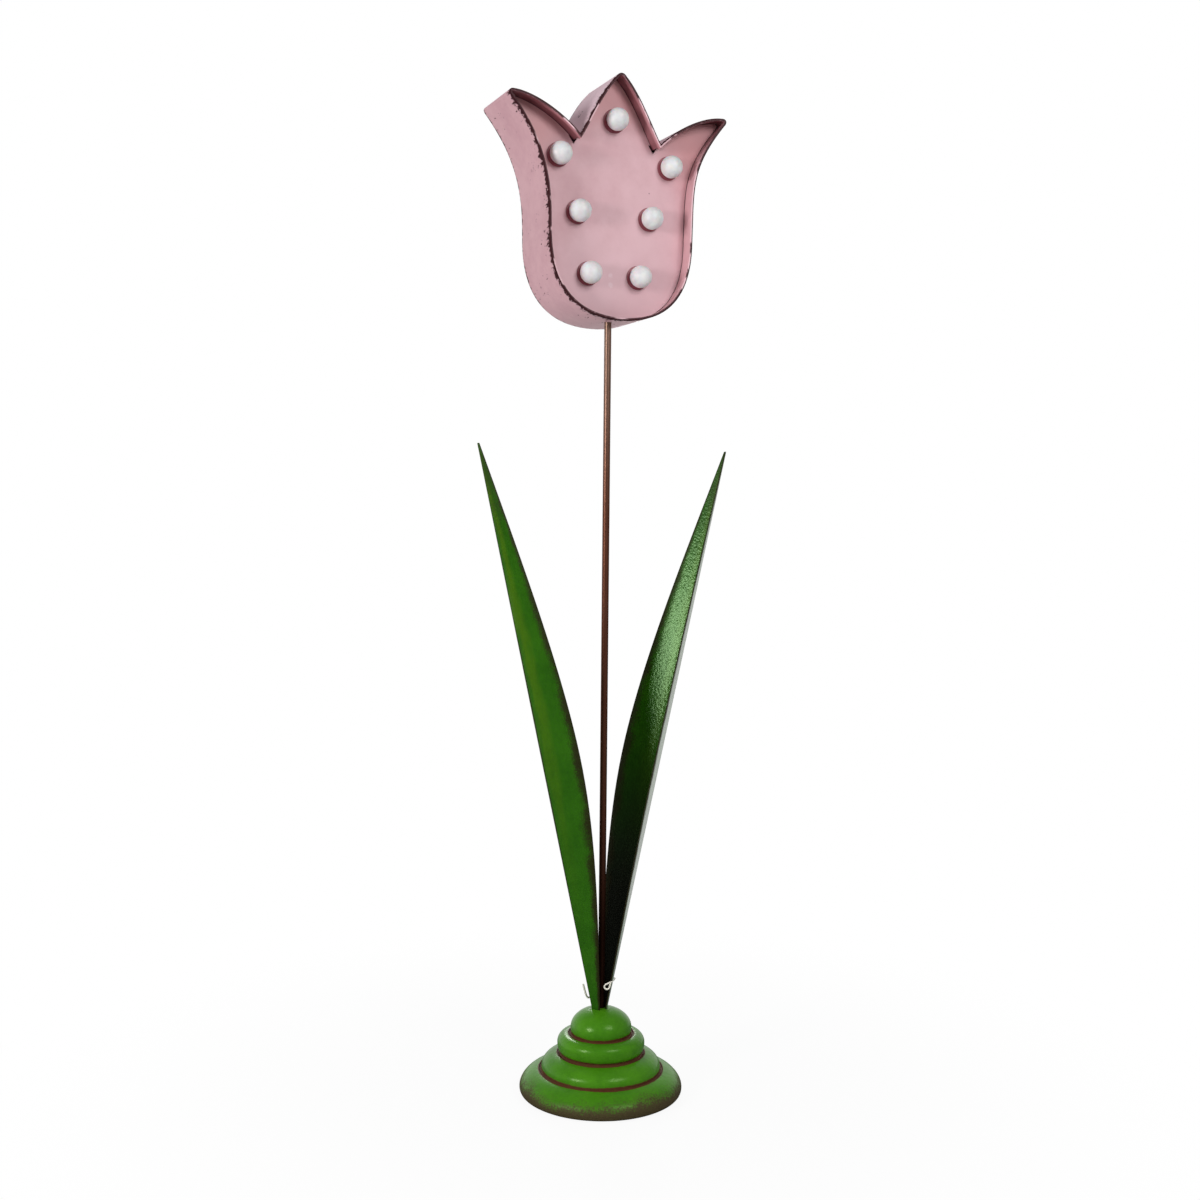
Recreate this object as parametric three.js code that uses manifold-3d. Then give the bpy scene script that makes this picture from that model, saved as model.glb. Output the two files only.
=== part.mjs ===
// Light-up tulip decoration: a sheet-metal tulip head with seven globe lights on a steel rod,
// two folded sheet-metal leaves and a turned wooden base.
// Millimetres, +Z up. The origin is the centre of the base's underside, on the rod's axis.
// The head faces -Y.
import * as THREE from 'three';
import { mergeVertices } from 'three/addons/utils/BufferGeometryUtils.js';
import Module from 'manifold-3d';

const wasm = await Module();
wasm.setup();

// Clearances
const SEAT_GAP = 0.3;
const RUNNING_GAP = 0.3;
const FINE_GAP = 0.15;

// Base
const FELT_RADIUS = 66;
const FELT_THICK = 1.5;
const FOOT_RADIUS = 71.3;
const RIM_RADIUS = 74.4;
const RIM_Z = 6.2;
const GROOVE_DEPTH = 1.4;
const GROOVE_HALF = 1.3;
const FLANGE_GROOVE = { radius: 55.6, z: 22.3 };
const SHOULDER_GROOVE = { radius: 38.6, z: 37.6 };
const RING_RADIUS = 40;
const RING_Z = 46.6;
const RING_GROOVE = { radius: 28.6, z: 55 };
const DOME_RADIUS = 27.9;
const DOME_WIDEST_Z = 60.5;
const DOME_TOP_Z = 78.5;
const BASE_SEGMENTS = 40;
const COUNTERBORE_RADIUS = 12;
const COUNTERBORE_DEPTH = 13;

// Rod and its fastening
const ROD_RADIUS = 3.175;
const ROD_END_Z = 4.5;
const ROD_INTO_HEAD = 48;
const NUT_FLATS = 11.1;
const NUT_HEIGHT = 5.5;
const WASHER_RADIUS = 9;
const WASHER_THICK = 1.5;
const ROD_PLATE_GAP = 0.5;
const WELD_BELOW_ROD_TOP = [14, 6];
const WELD_LENGTH = 5;
const WELD_HALF_WIDTH = 4.2;
const WELD_DEPTH = 2.8;
const WELD_GAP = 0.1;

// Leaves
const LEAF_SHEET = 1;
const LEAF_FOLD_HALF = THREE.MathUtils.degToRad(55);
const LEAF_RIGHT_ROOT_X = 7;
const LEAF_LEFT_ROOT_X = 9.8;
const LEAF_ROOT_ABOVE_DOME = 1.5;
const LEAF_TIP_X = 123.4;
const LEAF_TIP_Z = 589;
const LEAF_ROOT_WIDTH = 8.5;
const LEAF_WIDTH = 41.3;
const LEAF_TIP_WIDTH = 1.8;
const LEAF_WIDEST_AT = 0.45;
const LEAF_STEPS = 13;
const TANG_WIDTH = 7.5;
const TANG_DEPTH = 16;

// Tag loop
const TAG_RADIUS = 0.7;
const TAG_EYE_RADIUS = 2.9;
const TAG_EYE_THICK = 1;

// Head
const HEAD_BOTTOM_Z = 700.3;
const HEAD_OFFSET_X = 1.95;
const HEAD_DEPTH = 63.8;
const HEAD_SHEET = 1;
const HEM_THICK = 2.2;
const HEM_DEPTH = 5;
const BODY_HALF_WIDTH = 69.8;
const BODY_SWAY = 2;
const SWAY_FULL_Y = 90;
const SWAY_NONE_Y = 150;
const BODY_STRAIGHT_Y = 75;
const TIP_X = 104.6;
const TIP_Y = 183;
const NOTCH_X = 39;
const NOTCH_Y = 157.4;
const CROWN_Y = 214.7;
const TIP_BLUNT = 3.8;
const TIP_RISE = 4.9;
const CROWN_BLUNT = 4.6;
const CROWN_DROP = 2.8;
const PLATE_RECESS = 16;
const PLATE_SHEET = 0.9;
const NOTCH_RELIEF = 5;
const COVER_SHEET = 0.9;
const COVER_RECESS = 4;

// Lights
const GLOBE_RADIUS = 9.95;
const GLOBE_WALL = 1.2;
const GLOBE_STAND = 8;
const NECK_ROOM = 0.9;
const HOLDER_RADIUS = 10.6;
const HOLDER_RIM = 1;
const HOLDER_WALL = 1;
const HOLDER_BEHIND = 6;
const LED_RADIUS = 2.5;
const LED_FLANGE_RADIUS = 3.4;
const LED_LENGTH = 8.6;
const LED_FLANGE_THICK = 1;
const LED_LEG = 4;
const LED_LEG_RADIUS = 1.2;
const LIGHT_PLACES = [
  [0, 176.6],
  [-54, 141.2],
  [54, 141.2],
  [-35.3, 93.7],
  [35.3, 93.7],
  [-24.4, 41],
  [24.4, 41],
];
const LEAD_RADIUS = 1;

// Battery box, set in the rear cover
const CELL_RADIUS = 7.1;
const CELL_BODY = 49;
const CELL_NUB = 1.2;
const CELL_NUB_RADIUS = 2.6;
const CELL_SPACING = 15.4;
const BAY_Y = 72;
const BAY_SIDE_GAP = 0.7;
const SPRING_ROOM = 7.8;
const BOX_WALL = 1.6;
const FLANGE_LIP = 4;
const FLANGE_THICK = 1.1;
const DOOR_THICK = 1.4;
const DOOR_LAP = 3;
const DOOR_RIBS = 5;
const DOOR_RIB_HALF = 9;
const DOOR_RIB_PITCH = 2.2;
const RAIL_LIP = 1.6;
const RAIL_LIP_THICK = 0.6;
const RAIL_WALL = 2;
const SNAP_HALF = 6;
const SNAP_PROUD = 1.2;
const CONTACT_SHEET = 0.5;
const CONTACT_HALF = 4.5;
const BUMP_RADII = [3.4, 2.4];
const STUD_HEIGHT = 2.4;
const SPRING_WIRE = 0.4;
const SPRING_RADII = [5, 3];
const SPRING_TURNS = 3;

// Switch
const SWITCH_Y = 21;
const SWITCH_BODY = [13, 6.5, 6];
const SWITCH_EAR = 4;
const SWITCH_EAR_THICK = 1;
const SWITCH_TRAVEL = 4;
const KNOB = [3.8, 2.8];
const KNOB_PROUD = 3;
const KNOB_BASE = [6, 4.2, 1.3];

// Screws and tabs
const SCREW_RADIUS = 1.45;
const SCREW_HEAD_RADIUS = 2.9;
const SCREW_HEAD = 1.8;
const SCREW_LENGTH = 7;
const SMALL_SCREW_RADIUS = 1;
const SMALL_SCREW_HEAD_RADIUS = 1.9;
const SMALL_SCREW_HEAD = 1.2;
const TAB_WIDTH = 12;
const TAB_FOOT = 11;
const TAB_LEG = 14;
const TAB_SHEET = 1.2;
const TAB_WALL_GAP = 0.75;
const TAB_SCREW = 6;
const TAB_LOW_SHARE = 0.6;
const TAB_HIGH_SHARE = 0.55;

// Finishes
const finish = (color, roughness, metalness = 0) =>
  new THREE.MeshStandardMaterial({ color, roughness, metalness });
const paint = {
  pink: finish(0xc9a2a8, 0.45),
  plum: finish(0x5c2f3e, 0.5),
  leaf: finish(0x2f6414, 0.35),
  base: finish(0x489420, 0.45),
  rod: finish(0x5a3a2c, 0.5, 0.4),
  steel: finish(0x9a9a98, 0.4, 0.9),
  felt: finish(0x2c2c2a, 0.95),
  globe: finish(0xf2f2ee, 0.5),
  lamp: finish(0xf4f0dc, 0.2),
  cable: finish(0x8d6a4a, 0.6),
  moulding: finish(0x232322, 0.55),
  cell: finish(0x3a4a58, 0.35, 0.3),
  nylon: finish(0xe8e4d4, 0.4),
};

// A closed solid from any three.js geometry, with its faces turned outwards
function solid(geometry) {
  const plain = new THREE.BufferGeometry();
  plain.setAttribute('position', geometry.getAttribute('position'));
  if (geometry.index) plain.setIndex(geometry.index);
  const merged = mergeVertices(plain, 1e-4);
  const position = merged.getAttribute('position');
  const corners = [];
  let volume = 0;
  const a = new THREE.Vector3();
  const b = new THREE.Vector3();
  const c = new THREE.Vector3();
  for (let i = 0; i < merged.index.count; i += 3) {
    const [p, q, r] = [0, 1, 2].map((k) => merged.index.getX(i + k));
    if (p === q || q === r || r === p) continue;
    a.fromBufferAttribute(position, p);
    b.fromBufferAttribute(position, q);
    c.fromBufferAttribute(position, r);
    volume += a.dot(b.cross(c));
    corners.push(p, q, r);
  }
  if (volume < 0) corners.reverse();
  return new wasm.Manifold(new wasm.Mesh({
    numProp: 3,
    vertProperties: new Float32Array(position.array),
    triVerts: new Uint32Array(corners),
  }));
}

function geometryOf(manifold) {
  const mesh = manifold.getMesh();
  const geometry = new THREE.BufferGeometry();
  geometry.setAttribute('position', new THREE.BufferAttribute(mesh.vertProperties, 3));
  geometry.setIndex(new THREE.BufferAttribute(mesh.triVerts, 1));
  geometry.computeVertexNormals();
  return geometry;
}

// A block from its lowest and highest corners
function block(low, high) {
  const size = high.map((value, axis) => value - low[axis]);
  const middle = high.map((value, axis) => (value + low[axis]) / 2);
  return solid(new THREE.BoxGeometry(...size).translate(...middle));
}

// A turned solid from [radius, height] pairs, its axis along +Z
function turned(profile, segments) {
  const points = profile.map(([radius, height]) => new THREE.Vector2(radius, height));
  return solid(new THREE.LatheGeometry(points, segments).rotateX(Math.PI / 2));
}

function rodAlongZ(radius, low, high, segments) {
  return turned([[0, low], [radius, low], [radius, high], [0, high]], segments);
}

function slab(shape, low, high) {
  const geometry = new THREE.ExtrudeGeometry(shape, { depth: high - low, bevelEnabled: false });
  return solid(geometry.translate(0, 0, low));
}

function tube(points, radius, sides, steps) {
  const path = new THREE.CatmullRomCurve3(points.map((point) => new THREE.Vector3(...point)));
  const section = new THREE.Shape();
  for (let i = 0; i < sides; i += 1) {
    const angle = (2 * Math.PI * i) / sides;
    const corner = [radius * Math.cos(angle), radius * Math.sin(angle)];
    if (i === 0) section.moveTo(...corner);
    else section.lineTo(...corner);
  }
  section.closePath();
  return solid(new THREE.ExtrudeGeometry(section, { steps, extrudePath: path }));
}

function add(group, name, body, material) {
  const mesh = new THREE.Mesh(geometryOf(body), material);
  mesh.name = name;
  group.add(mesh);
  return mesh;
}

const model = new THREE.Group();

// Base: four turned tiers with a cut groove below each of the upper three
const baseBottomZ = FELT_THICK;
const counterboreTopZ = baseBottomZ + COUNTERBORE_DEPTH;
const boreRadius = ROD_RADIUS + RUNNING_GAP;

function baseProfile() {
  const outline = new THREE.Path();
  const { radius: r3, z: z3 } = FLANGE_GROOVE;
  const { radius: r2, z: z2 } = SHOULDER_GROOVE;
  const { radius: r1, z: z1 } = RING_GROOVE;
  outline.moveTo(FOOT_RADIUS, baseBottomZ);
  outline.quadraticCurveTo(RIM_RADIUS, baseBottomZ + 1, RIM_RADIUS, RIM_Z);
  outline.bezierCurveTo(RIM_RADIUS, RIM_Z + 7, r3 + 11, z3 - 2.4, r3 + GROOVE_HALF, z3 - 0.4);
  outline.lineTo(r3, z3 - GROOVE_DEPTH);
  outline.lineTo(r3 - GROOVE_HALF, z3 + 0.9);
  outline.bezierCurveTo(r3 - 0.6, z3 + 7.5, r2 + 11, z2 - 2.6, r2 + GROOVE_HALF, z2 - 0.5);
  outline.lineTo(r2 - 0.3, z2 - GROOVE_DEPTH);
  outline.lineTo(r2 - GROOVE_HALF, z2 + 0.9);
  outline.quadraticCurveTo(RING_RADIUS, z2 + 3, RING_RADIUS, RING_Z);
  outline.bezierCurveTo(RING_RADIUS, RING_Z + 5.2, r1 + 7, z1 + 0.6, r1 + GROOVE_HALF, z1 - 0.3);
  outline.lineTo(r1, z1 - GROOVE_DEPTH);
  outline.lineTo(r1 - GROOVE_HALF, z1 + 1);
  outline.quadraticCurveTo(DOME_RADIUS, z1 + 3, DOME_RADIUS, DOME_WIDEST_Z);
  const domeRise = DOME_TOP_Z - DOME_WIDEST_Z;
  const steps = 7;
  const lastAngle = Math.acos(boreRadius / DOME_RADIUS);
  for (let i = 1; i <= steps; i += 1) {
    const angle = (lastAngle * i) / steps;
    outline.lineTo(DOME_RADIUS * Math.cos(angle), DOME_WIDEST_Z + domeRise * Math.sin(angle));
  }
  const divisions = 4;
  const points = [];
  for (const curve of outline.curves) {
    const parts = curve.isLineCurve ? [curve.v1] : curve.getPoints(divisions).slice(0, -1);
    points.push(...parts);
  }
  points.push(outline.curves.at(-1).v2);
  return points.map((point) => [point.x, point.y]);
}

// Leaf section at one height: a V of sheet with its crease outermost, for the right-hand leaf
function leafSection(creaseX, width, thick, grow = 0) {
  const cos = Math.cos(LEAF_FOLD_HALF);
  const sin = Math.sin(LEAF_FOLD_HALF);
  const outer = creaseX + grow / sin;
  const reach = width + grow;
  const sheet = thick + 2 * grow;
  const end = [outer - reach * cos, reach * sin];
  const inner = [end[0] - sheet * sin, end[1] - sheet * cos];
  return [
    end,
    [outer, 0],
    [end[0], -end[1]],
    [inner[0], -inner[1]],
    [outer - sheet / sin, 0],
    inner,
  ];
}

// A solid lofted through sections of equal point count, from the lowest section to the highest
function loft(sections, heights) {
  const count = sections[0].length;
  const vertices = [];
  const faces = [];
  sections.forEach((section, level) => {
    section.forEach(([x, y]) => vertices.push(x, y, heights[level]));
  });
  for (let level = 0; level < sections.length - 1; level += 1) {
    for (let i = 0; i < count; i += 1) {
      const j = (i + 1) % count;
      const low = level * count;
      const high = low + count;
      faces.push(low + i, low + j, high + j, low + i, high + j, high + i);
    }
  }
  const top = (sections.length - 1) * count;
  for (const [i, j, k] of [[0, 1, 5], [1, 4, 5], [1, 2, 4], [2, 3, 4]]) {
    faces.push(k, j, i);
    faces.push(top + i, top + j, top + k);
  }
  const geometry = new THREE.BufferGeometry();
  geometry.setAttribute('position', new THREE.Float32BufferAttribute(vertices, 3));
  geometry.setIndex(faces);
  return solid(geometry);
}

const leafRootZ = DOME_TOP_Z + LEAF_ROOT_ABOVE_DOME;
const tangBottomZ = leafRootZ - TANG_DEPTH;

function leafWidthCurve() {
  const curve = new THREE.CurvePath();
  const point = (along, width) => new THREE.Vector2(along, width);
  const widest = LEAF_WIDEST_AT;
  curve.add(new THREE.CubicBezierCurve(
    point(0, LEAF_ROOT_WIDTH),
    point(0.36 * widest, 0.61 * LEAF_WIDTH),
    point(0.69 * widest, LEAF_WIDTH),
    point(widest, LEAF_WIDTH),
  ));
  curve.add(new THREE.CubicBezierCurve(
    point(widest, LEAF_WIDTH),
    point(widest + 0.29 * (1 - widest), LEAF_WIDTH),
    point(widest + 0.65 * (1 - widest), 0.49 * LEAF_WIDTH),
    point(1, LEAF_TIP_WIDTH),
  ));
  return curve;
}

function leafBody(rootX) {
  const sections = [leafSection(rootX, TANG_WIDTH, LEAF_SHEET)];
  const heights = [tangBottomZ];
  for (const curve of leafWidthCurve().curves) {
    curve.getPoints(LEAF_STEPS).forEach((point, index) => {
      if (index === 0 && heights.length > 1) return;
      const creaseX = THREE.MathUtils.lerp(rootX, LEAF_TIP_X, point.x);
      sections.push(leafSection(creaseX, point.y, LEAF_SHEET));
      heights.push(THREE.MathUtils.lerp(leafRootZ, LEAF_TIP_Z, point.x));
    });
  }
  return loft(sections, heights);
}

function leafSlot(rootX) {
  const low = leafSection(rootX, TANG_WIDTH, LEAF_SHEET, SEAT_GAP);
  const high = leafSection(rootX, LEAF_ROOT_WIDTH, LEAF_SHEET, SEAT_GAP);
  return loft([low, low, high], [tangBottomZ - SEAT_GAP, tangBottomZ, leafRootZ]);
}

const halfTurn = (body) => body.rotate([0, 0, 180]);

function makeBase() {
  const outer = baseProfile();
  const wall = [
    [boreRadius, counterboreTopZ],
    [COUNTERBORE_RADIUS, counterboreTopZ],
    [COUNTERBORE_RADIUS, baseBottomZ],
  ];
  const ring = [...wall, ...outer, [boreRadius, counterboreTopZ]];
  const rightSlot = leafSlot(LEAF_RIGHT_ROOT_X);
  const leftSlot = halfTurn(leafSlot(LEAF_LEFT_ROOT_X));
  const turning = turned(ring, BASE_SEGMENTS).subtract(rightSlot).subtract(leftSlot);
  add(model, 'base_turning', turning, paint.base);
  add(model, 'base_felt', rodAlongZ(FELT_RADIUS, 0, FELT_THICK, BASE_SEGMENTS), paint.felt);
}

function makeRod() {
  const rodTopZ = HEAD_BOTTOM_Z + ROD_INTO_HEAD;
  add(model, 'stem_rod', rodAlongZ(ROD_RADIUS, ROD_END_Z, rodTopZ, 24), paint.rod);
  const washerTopZ = counterboreTopZ - FINE_GAP;
  const washerBottomZ = washerTopZ - WASHER_THICK;
  const washer = turned([
    [boreRadius, washerBottomZ],
    [WASHER_RADIUS, washerBottomZ],
    [WASHER_RADIUS, washerTopZ],
    [boreRadius, washerTopZ],
    [boreRadius, washerBottomZ],
  ], 24);
  add(model, 'stem_washer', washer, paint.steel);
  const nutTopZ = washerBottomZ - FINE_GAP;
  const nutBottomZ = nutTopZ - NUT_HEIGHT;
  const corner = NUT_FLATS / 2 / Math.cos(Math.PI / 6);
  const bore = rodAlongZ(boreRadius, nutBottomZ - 1, nutTopZ + 1, 24);
  add(model, 'stem_nut', rodAlongZ(corner, nutBottomZ, nutTopZ, 6).subtract(bore), paint.steel);
}

function makeLeaves() {
  add(model, 'leaf_right', leafBody(LEAF_RIGHT_ROOT_X), paint.leaf);
  add(model, 'leaf_left', halfTurn(leafBody(LEAF_LEFT_ROOT_X)), paint.leaf);
}

// Tag loop: its tail lies behind the left leaf. It comes in between the leaves, round the rod
// and out in front to an eye, then round the right leaf to meet the tail again.
function makeTagLoop() {
  const crossing = [0.8, 12.4, 91];
  const eyeMiddle = [0.9, -9.9, 100];
  const eyeTurn = THREE.MathUtils.degToRad(-25);
  const inner = tube([
    [-15, 12, 98.2],
    [-8.5, 13.4, 83.5],
    [-3.5, 13.8, 85],
    crossing,
    [0.5, 8.5, 96.5],
    [-2.8, 5.2, 98.5],
    [-4.9, 0, 99],
    [-3.9, -5, 99.6],
    [-1.8, -8.5, 100],
  ], TAG_RADIUS, 8, 30);
  const outer = tube([
    [1.6, -10.3, 102.9],
    [5.4, -12.1, 104.6],
    [7.8, -9.4, 104.6],
    [10.8, -5.1, 104.2],
    [14.3, 0, 103.4],
    [10.8, 5.3, 102.4],
    [7.6, 9.6, 101],
    [4.6, 12.6, 97],
    crossing,
  ], TAG_RADIUS, 8, 30);
  const eye = new THREE.TorusGeometry(TAG_EYE_RADIUS, TAG_EYE_THICK, 8, 14);
  eye.rotateX(Math.PI / 2).rotateZ(eyeTurn).translate(...eyeMiddle);
  add(model, 'tag_loop', inner.add(outer).add(solid(eye)), paint.nylon);
}

makeBase();
makeRod();
makeLeaves();
makeTagLoop();

// Head. Its own frame: x to the right of the lights' middle line, y up from the band's lowest
// point, z towards the front, with z = 0 on the rod's axis.
const head = new THREE.Group();
head.position.set(HEAD_OFFSET_X, 0, HEAD_BOTTOM_Z);
head.rotation.x = Math.PI / 2;
model.add(head);

const plateBack = ROD_RADIUS + ROD_PLATE_GAP;
const plateFront = plateBack + PLATE_SHEET;
const bandFront = plateFront + PLATE_RECESS;
const bandBack = bandFront - HEAD_DEPTH;
const coverOuter = bandBack + COVER_RECESS;
const coverInner = coverOuter + COVER_SHEET;

// Right half of the tulip outline, from the lowest point to the crown. Each curve's handles
// are shares of the box between its ends.
function halfOutline() {
  const path = new THREE.Path();
  path.moveTo(0, 0);
  const curveTo = (x, y, ...handles) => {
    const { x: startX, y: startY } = path.currentPoint;
    const points = handles.flatMap(([across, up]) => [
      THREE.MathUtils.lerp(startX, x, across),
      THREE.MathUtils.lerp(startY, y, up),
    ]);
    path.bezierCurveTo(...points, x, y);
  };
  curveTo(BODY_HALF_WIDTH, BODY_STRAIGHT_Y, [0.658, 0], [1, 0.341]);
  curveTo(TIP_X, TIP_Y, [0.018, 0.424], [0.054, 0.635]);
  curveTo(TIP_X - TIP_BLUNT, TIP_Y + TIP_RISE, [-0.42, 0.65], [0, 1.06]);
  curveTo(NOTCH_X, NOTCH_Y, [0.27, 0.013], [0.693, 0.389]);
  curveTo(CROWN_BLUNT, CROWN_Y - CROWN_DROP, [0.2, 0.195], [0.581, 0.747]);
  curveTo(0, CROWN_Y, [0.26, 0.68], [0.65, 1]);
  return path.curves;
}

// The body sits a little to the right of the petals' middle line
function sway(y) {
  return BODY_SWAY * (1 - THREE.MathUtils.smoothstep(y, SWAY_FULL_Y, SWAY_NONE_Y));
}

const CURVE_STEPS = [10, 12, 3, 8, 8, 2];
const halfCurves = halfOutline();
const halfPoints = halfCurves.flatMap((curve, index) => (
  curve.getPoints(CURVE_STEPS[index]).slice(0, -1)
));
const onSide = (point, side) => new THREE.Vector2(side * point.x + sway(point.y), point.y);
const outline = [
  ...halfPoints.map((point) => onSide(point, 1)),
  new THREE.Vector2(0, CROWN_Y),
  ...halfPoints.slice(1).map((point) => onSide(point, -1)).reverse(),
];

// The outline moved inwards by a distance
function inset(distance) {
  const count = outline.length;
  return outline.map((point, index) => {
    const before = outline[(index + count - 1) % count];
    const after = outline[(index + 1) % count];
    const inDirection = point.clone().sub(before).normalize();
    const outDirection = after.clone().sub(point).normalize();
    const first = new THREE.Vector2(-inDirection.y, inDirection.x);
    const second = new THREE.Vector2(-outDirection.y, outDirection.x);
    const middle = first.clone().add(second).normalize();
    const stretch = Math.max(middle.dot(first), 0.35);
    return point.clone().addScaledVector(middle, distance / stretch);
  });
}

function strip(thick, low, high) {
  const shape = new THREE.Shape(outline);
  shape.holes.push(new THREE.Path(inset(thick)));
  return slab(shape, low, high);
}

function makeBand() {
  const wall = strip(HEAD_SHEET, bandBack, bandFront);
  const hem = strip(HEM_THICK, bandFront - HEM_DEPTH, bandFront);
  const rodHole = rodAlongZ(boreRadius, -5, 5, 24).rotate([90, 0, 0]);
  const band = wall.add(hem).subtract(rodHole.translate([-HEAD_OFFSET_X, 0, 0]));
  add(head, 'head_band', band, paint.pink);
}

// The lamp fits the globe's neck, the neck fits the holder's sleeve, the sleeve fits the plate
const neckRadius = LED_RADIUS + NECK_ROOM + GLOBE_WALL;
const sleeveBore = neckRadius + SEAT_GAP;
const sleeveRadius = sleeveBore + HOLDER_WALL;

function makePlate() {
  let plate = slab(new THREE.Shape(inset(HEAD_SHEET + SEAT_GAP)), plateBack, plateFront);
  for (const side of [-1, 1]) {
    const relief = new THREE.Shape([
      new THREE.Vector2(side * NOTCH_X, NOTCH_Y - NOTCH_RELIEF),
      new THREE.Vector2(side * NOTCH_X + NOTCH_RELIEF, NOTCH_Y + NOTCH_RELIEF / 2),
      new THREE.Vector2(side * NOTCH_X - NOTCH_RELIEF, NOTCH_Y + NOTCH_RELIEF / 2),
    ]);
    plate = plate.subtract(slab(relief, plateBack - 1, plateFront + 1));
  }
  for (const [x, y] of LIGHT_PLACES) {
    const hole = rodAlongZ(sleeveRadius + SEAT_GAP, plateBack - 1, plateFront + 1, 14);
    plate = plate.subtract(hole.translate([x, y, 0]));
  }
  add(head, 'face_plate', plate, paint.pink);
}

function makeWelds() {
  const rodSpace = rodAlongZ(ROD_RADIUS + WELD_GAP, -WELD_LENGTH, WELD_LENGTH, 24);
  const names = ['weld_lower', 'weld_upper'];
  WELD_BELOW_ROD_TOP.forEach((drop, index) => {
    const bead = block(
      [-WELD_HALF_WIDTH, -WELD_LENGTH / 2, plateBack - WELD_DEPTH],
      [WELD_HALF_WIDTH, WELD_LENGTH / 2, plateBack - WELD_GAP],
    );
    const body = bead.subtract(rodSpace.rotate([90, 0, 0]));
    const mesh = add(head, names[index], body, paint.steel);
    mesh.position.set(-HEAD_OFFSET_X, ROD_INTO_HEAD - drop, 0);
  });
}

// Lights: globe cap, holder and lamp on one axis, numbered from the top
const holderFront = plateFront + HOLDER_RIM;
const holderBack = plateBack - HOLDER_BEHIND;

function globeProfile() {
  const middle = plateFront + GLOBE_STAND;
  const seat = holderFront + SEAT_GAP;
  const neckBottom = holderBack + HOLDER_WALL + SEAT_GAP;
  const neckBore = neckRadius - GLOBE_WALL;
  const arc = (radius, low, steps, up) => {
    const first = Math.asin((low - middle) / radius);
    const points = [];
    for (let i = 0; i <= steps; i += 1) {
      const share = up ? i / steps : 1 - i / steps;
      const angle = THREE.MathUtils.lerp(first, Math.PI / 2, share);
      const onAxis = Math.abs(share - 1) < 1e-9;
      const across = onAxis ? 0 : radius * Math.cos(angle);
      points.push([across, middle + radius * Math.sin(angle)]);
    }
    return points;
  };
  return [
    [neckBore, neckBottom],
    [neckRadius, neckBottom],
    [neckRadius, seat],
    ...arc(GLOBE_RADIUS, seat, 6, true),
    ...arc(GLOBE_RADIUS - GLOBE_WALL, seat + GLOBE_WALL, 3, false),
    [neckBore, seat + GLOBE_WALL],
    [neckBore, neckBottom],
  ];
}

function holderProfile() {
  const ledBore = LED_RADIUS + SEAT_GAP;
  const underRim = plateFront + FINE_GAP;
  return [
    [ledBore, holderBack],
    [sleeveRadius, holderBack],
    [sleeveRadius, underRim],
    [HOLDER_RADIUS, underRim],
    [HOLDER_RADIUS, holderFront],
    [sleeveBore, holderFront],
    [sleeveBore, holderBack + HOLDER_WALL],
    [ledBore, holderBack + HOLDER_WALL],
    [ledBore, holderBack],
  ];
}

const ledFlangeFront = holderBack - FINE_GAP;
const ledFlangeBack = ledFlangeFront - LED_FLANGE_THICK;
const ledLegEnd = ledFlangeBack - LED_LEG;

function ledProfile() {
  const tip = ledFlangeFront + LED_LENGTH;
  return [
    [0, ledLegEnd],
    [LED_LEG_RADIUS, ledLegEnd],
    [LED_LEG_RADIUS, ledFlangeBack],
    [LED_FLANGE_RADIUS, ledFlangeBack],
    [LED_FLANGE_RADIUS, ledFlangeFront],
    [LED_RADIUS, ledFlangeFront],
    [LED_RADIUS, tip - LED_RADIUS],
    [0.7 * LED_RADIUS, tip - 0.3 * LED_RADIUS],
    [0, tip],
  ];
}

function makeLights() {
  const globe = turned(globeProfile(), 12);
  const holder = turned(holderProfile(), 16);
  const led = turned(ledProfile(), 8);
  LIGHT_PLACES.forEach(([x, y], index) => {
    for (const [name, body, material] of [
      ['bulb_globe', globe, paint.globe],
      ['bulb_holder', holder, paint.plum],
      ['led', led, paint.lamp],
    ]) {
      const mesh = add(head, `${name}_${index + 1}`, body, material);
      mesh.position.set(x, y, 0);
    }
  });
}

// Rear cover with its tabs and screws
const bayHalf = CELL_SPACING / 2 + CELL_RADIUS + BAY_SIDE_GAP;
const boxHalf = bayHalf + BOX_WALL;
const bayHeight = CELL_BODY + CELL_NUB + SPRING_ROOM;
const bayBottom = BAY_Y - bayHeight / 2;
const bayTop = BAY_Y + bayHeight / 2;
const cellMiddleZ = coverOuter - FLANGE_THICK + SEAT_GAP + CELL_RADIUS;
const bayFloor = cellMiddleZ + CELL_RADIUS + SEAT_GAP;
const boxFront = bayFloor + BOX_WALL;

// A tab's place: a share of one outline curve's length, on the right or the left side
function tabPlace(curve, share, side) {
  const along = curve.getTangent(share);
  const inwards = new THREE.Vector2(-along.y, along.x);
  const point = curve.getPoint(share).addScaledVector(inwards, HEAD_SHEET + TAB_WALL_GAP);
  const screw = point.clone().addScaledVector(inwards, TAB_SCREW);
  const turn = side * Math.atan2(along.y, along.x);
  const { x } = onSide(point, side);
  const screwX = x + side * (screw.x - point.x);
  return { x, y: point.y, turn, screw: [screwX, screw.y, 0] };
}

const tabPlaces = [1, -1].flatMap((side) => [
  tabPlace(halfCurves[0], TAB_LOW_SHARE, side),
  tabPlace(halfCurves[1], TAB_HIGH_SHARE, side),
]);
const tabBack = coverInner + SEAT_GAP;

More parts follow.
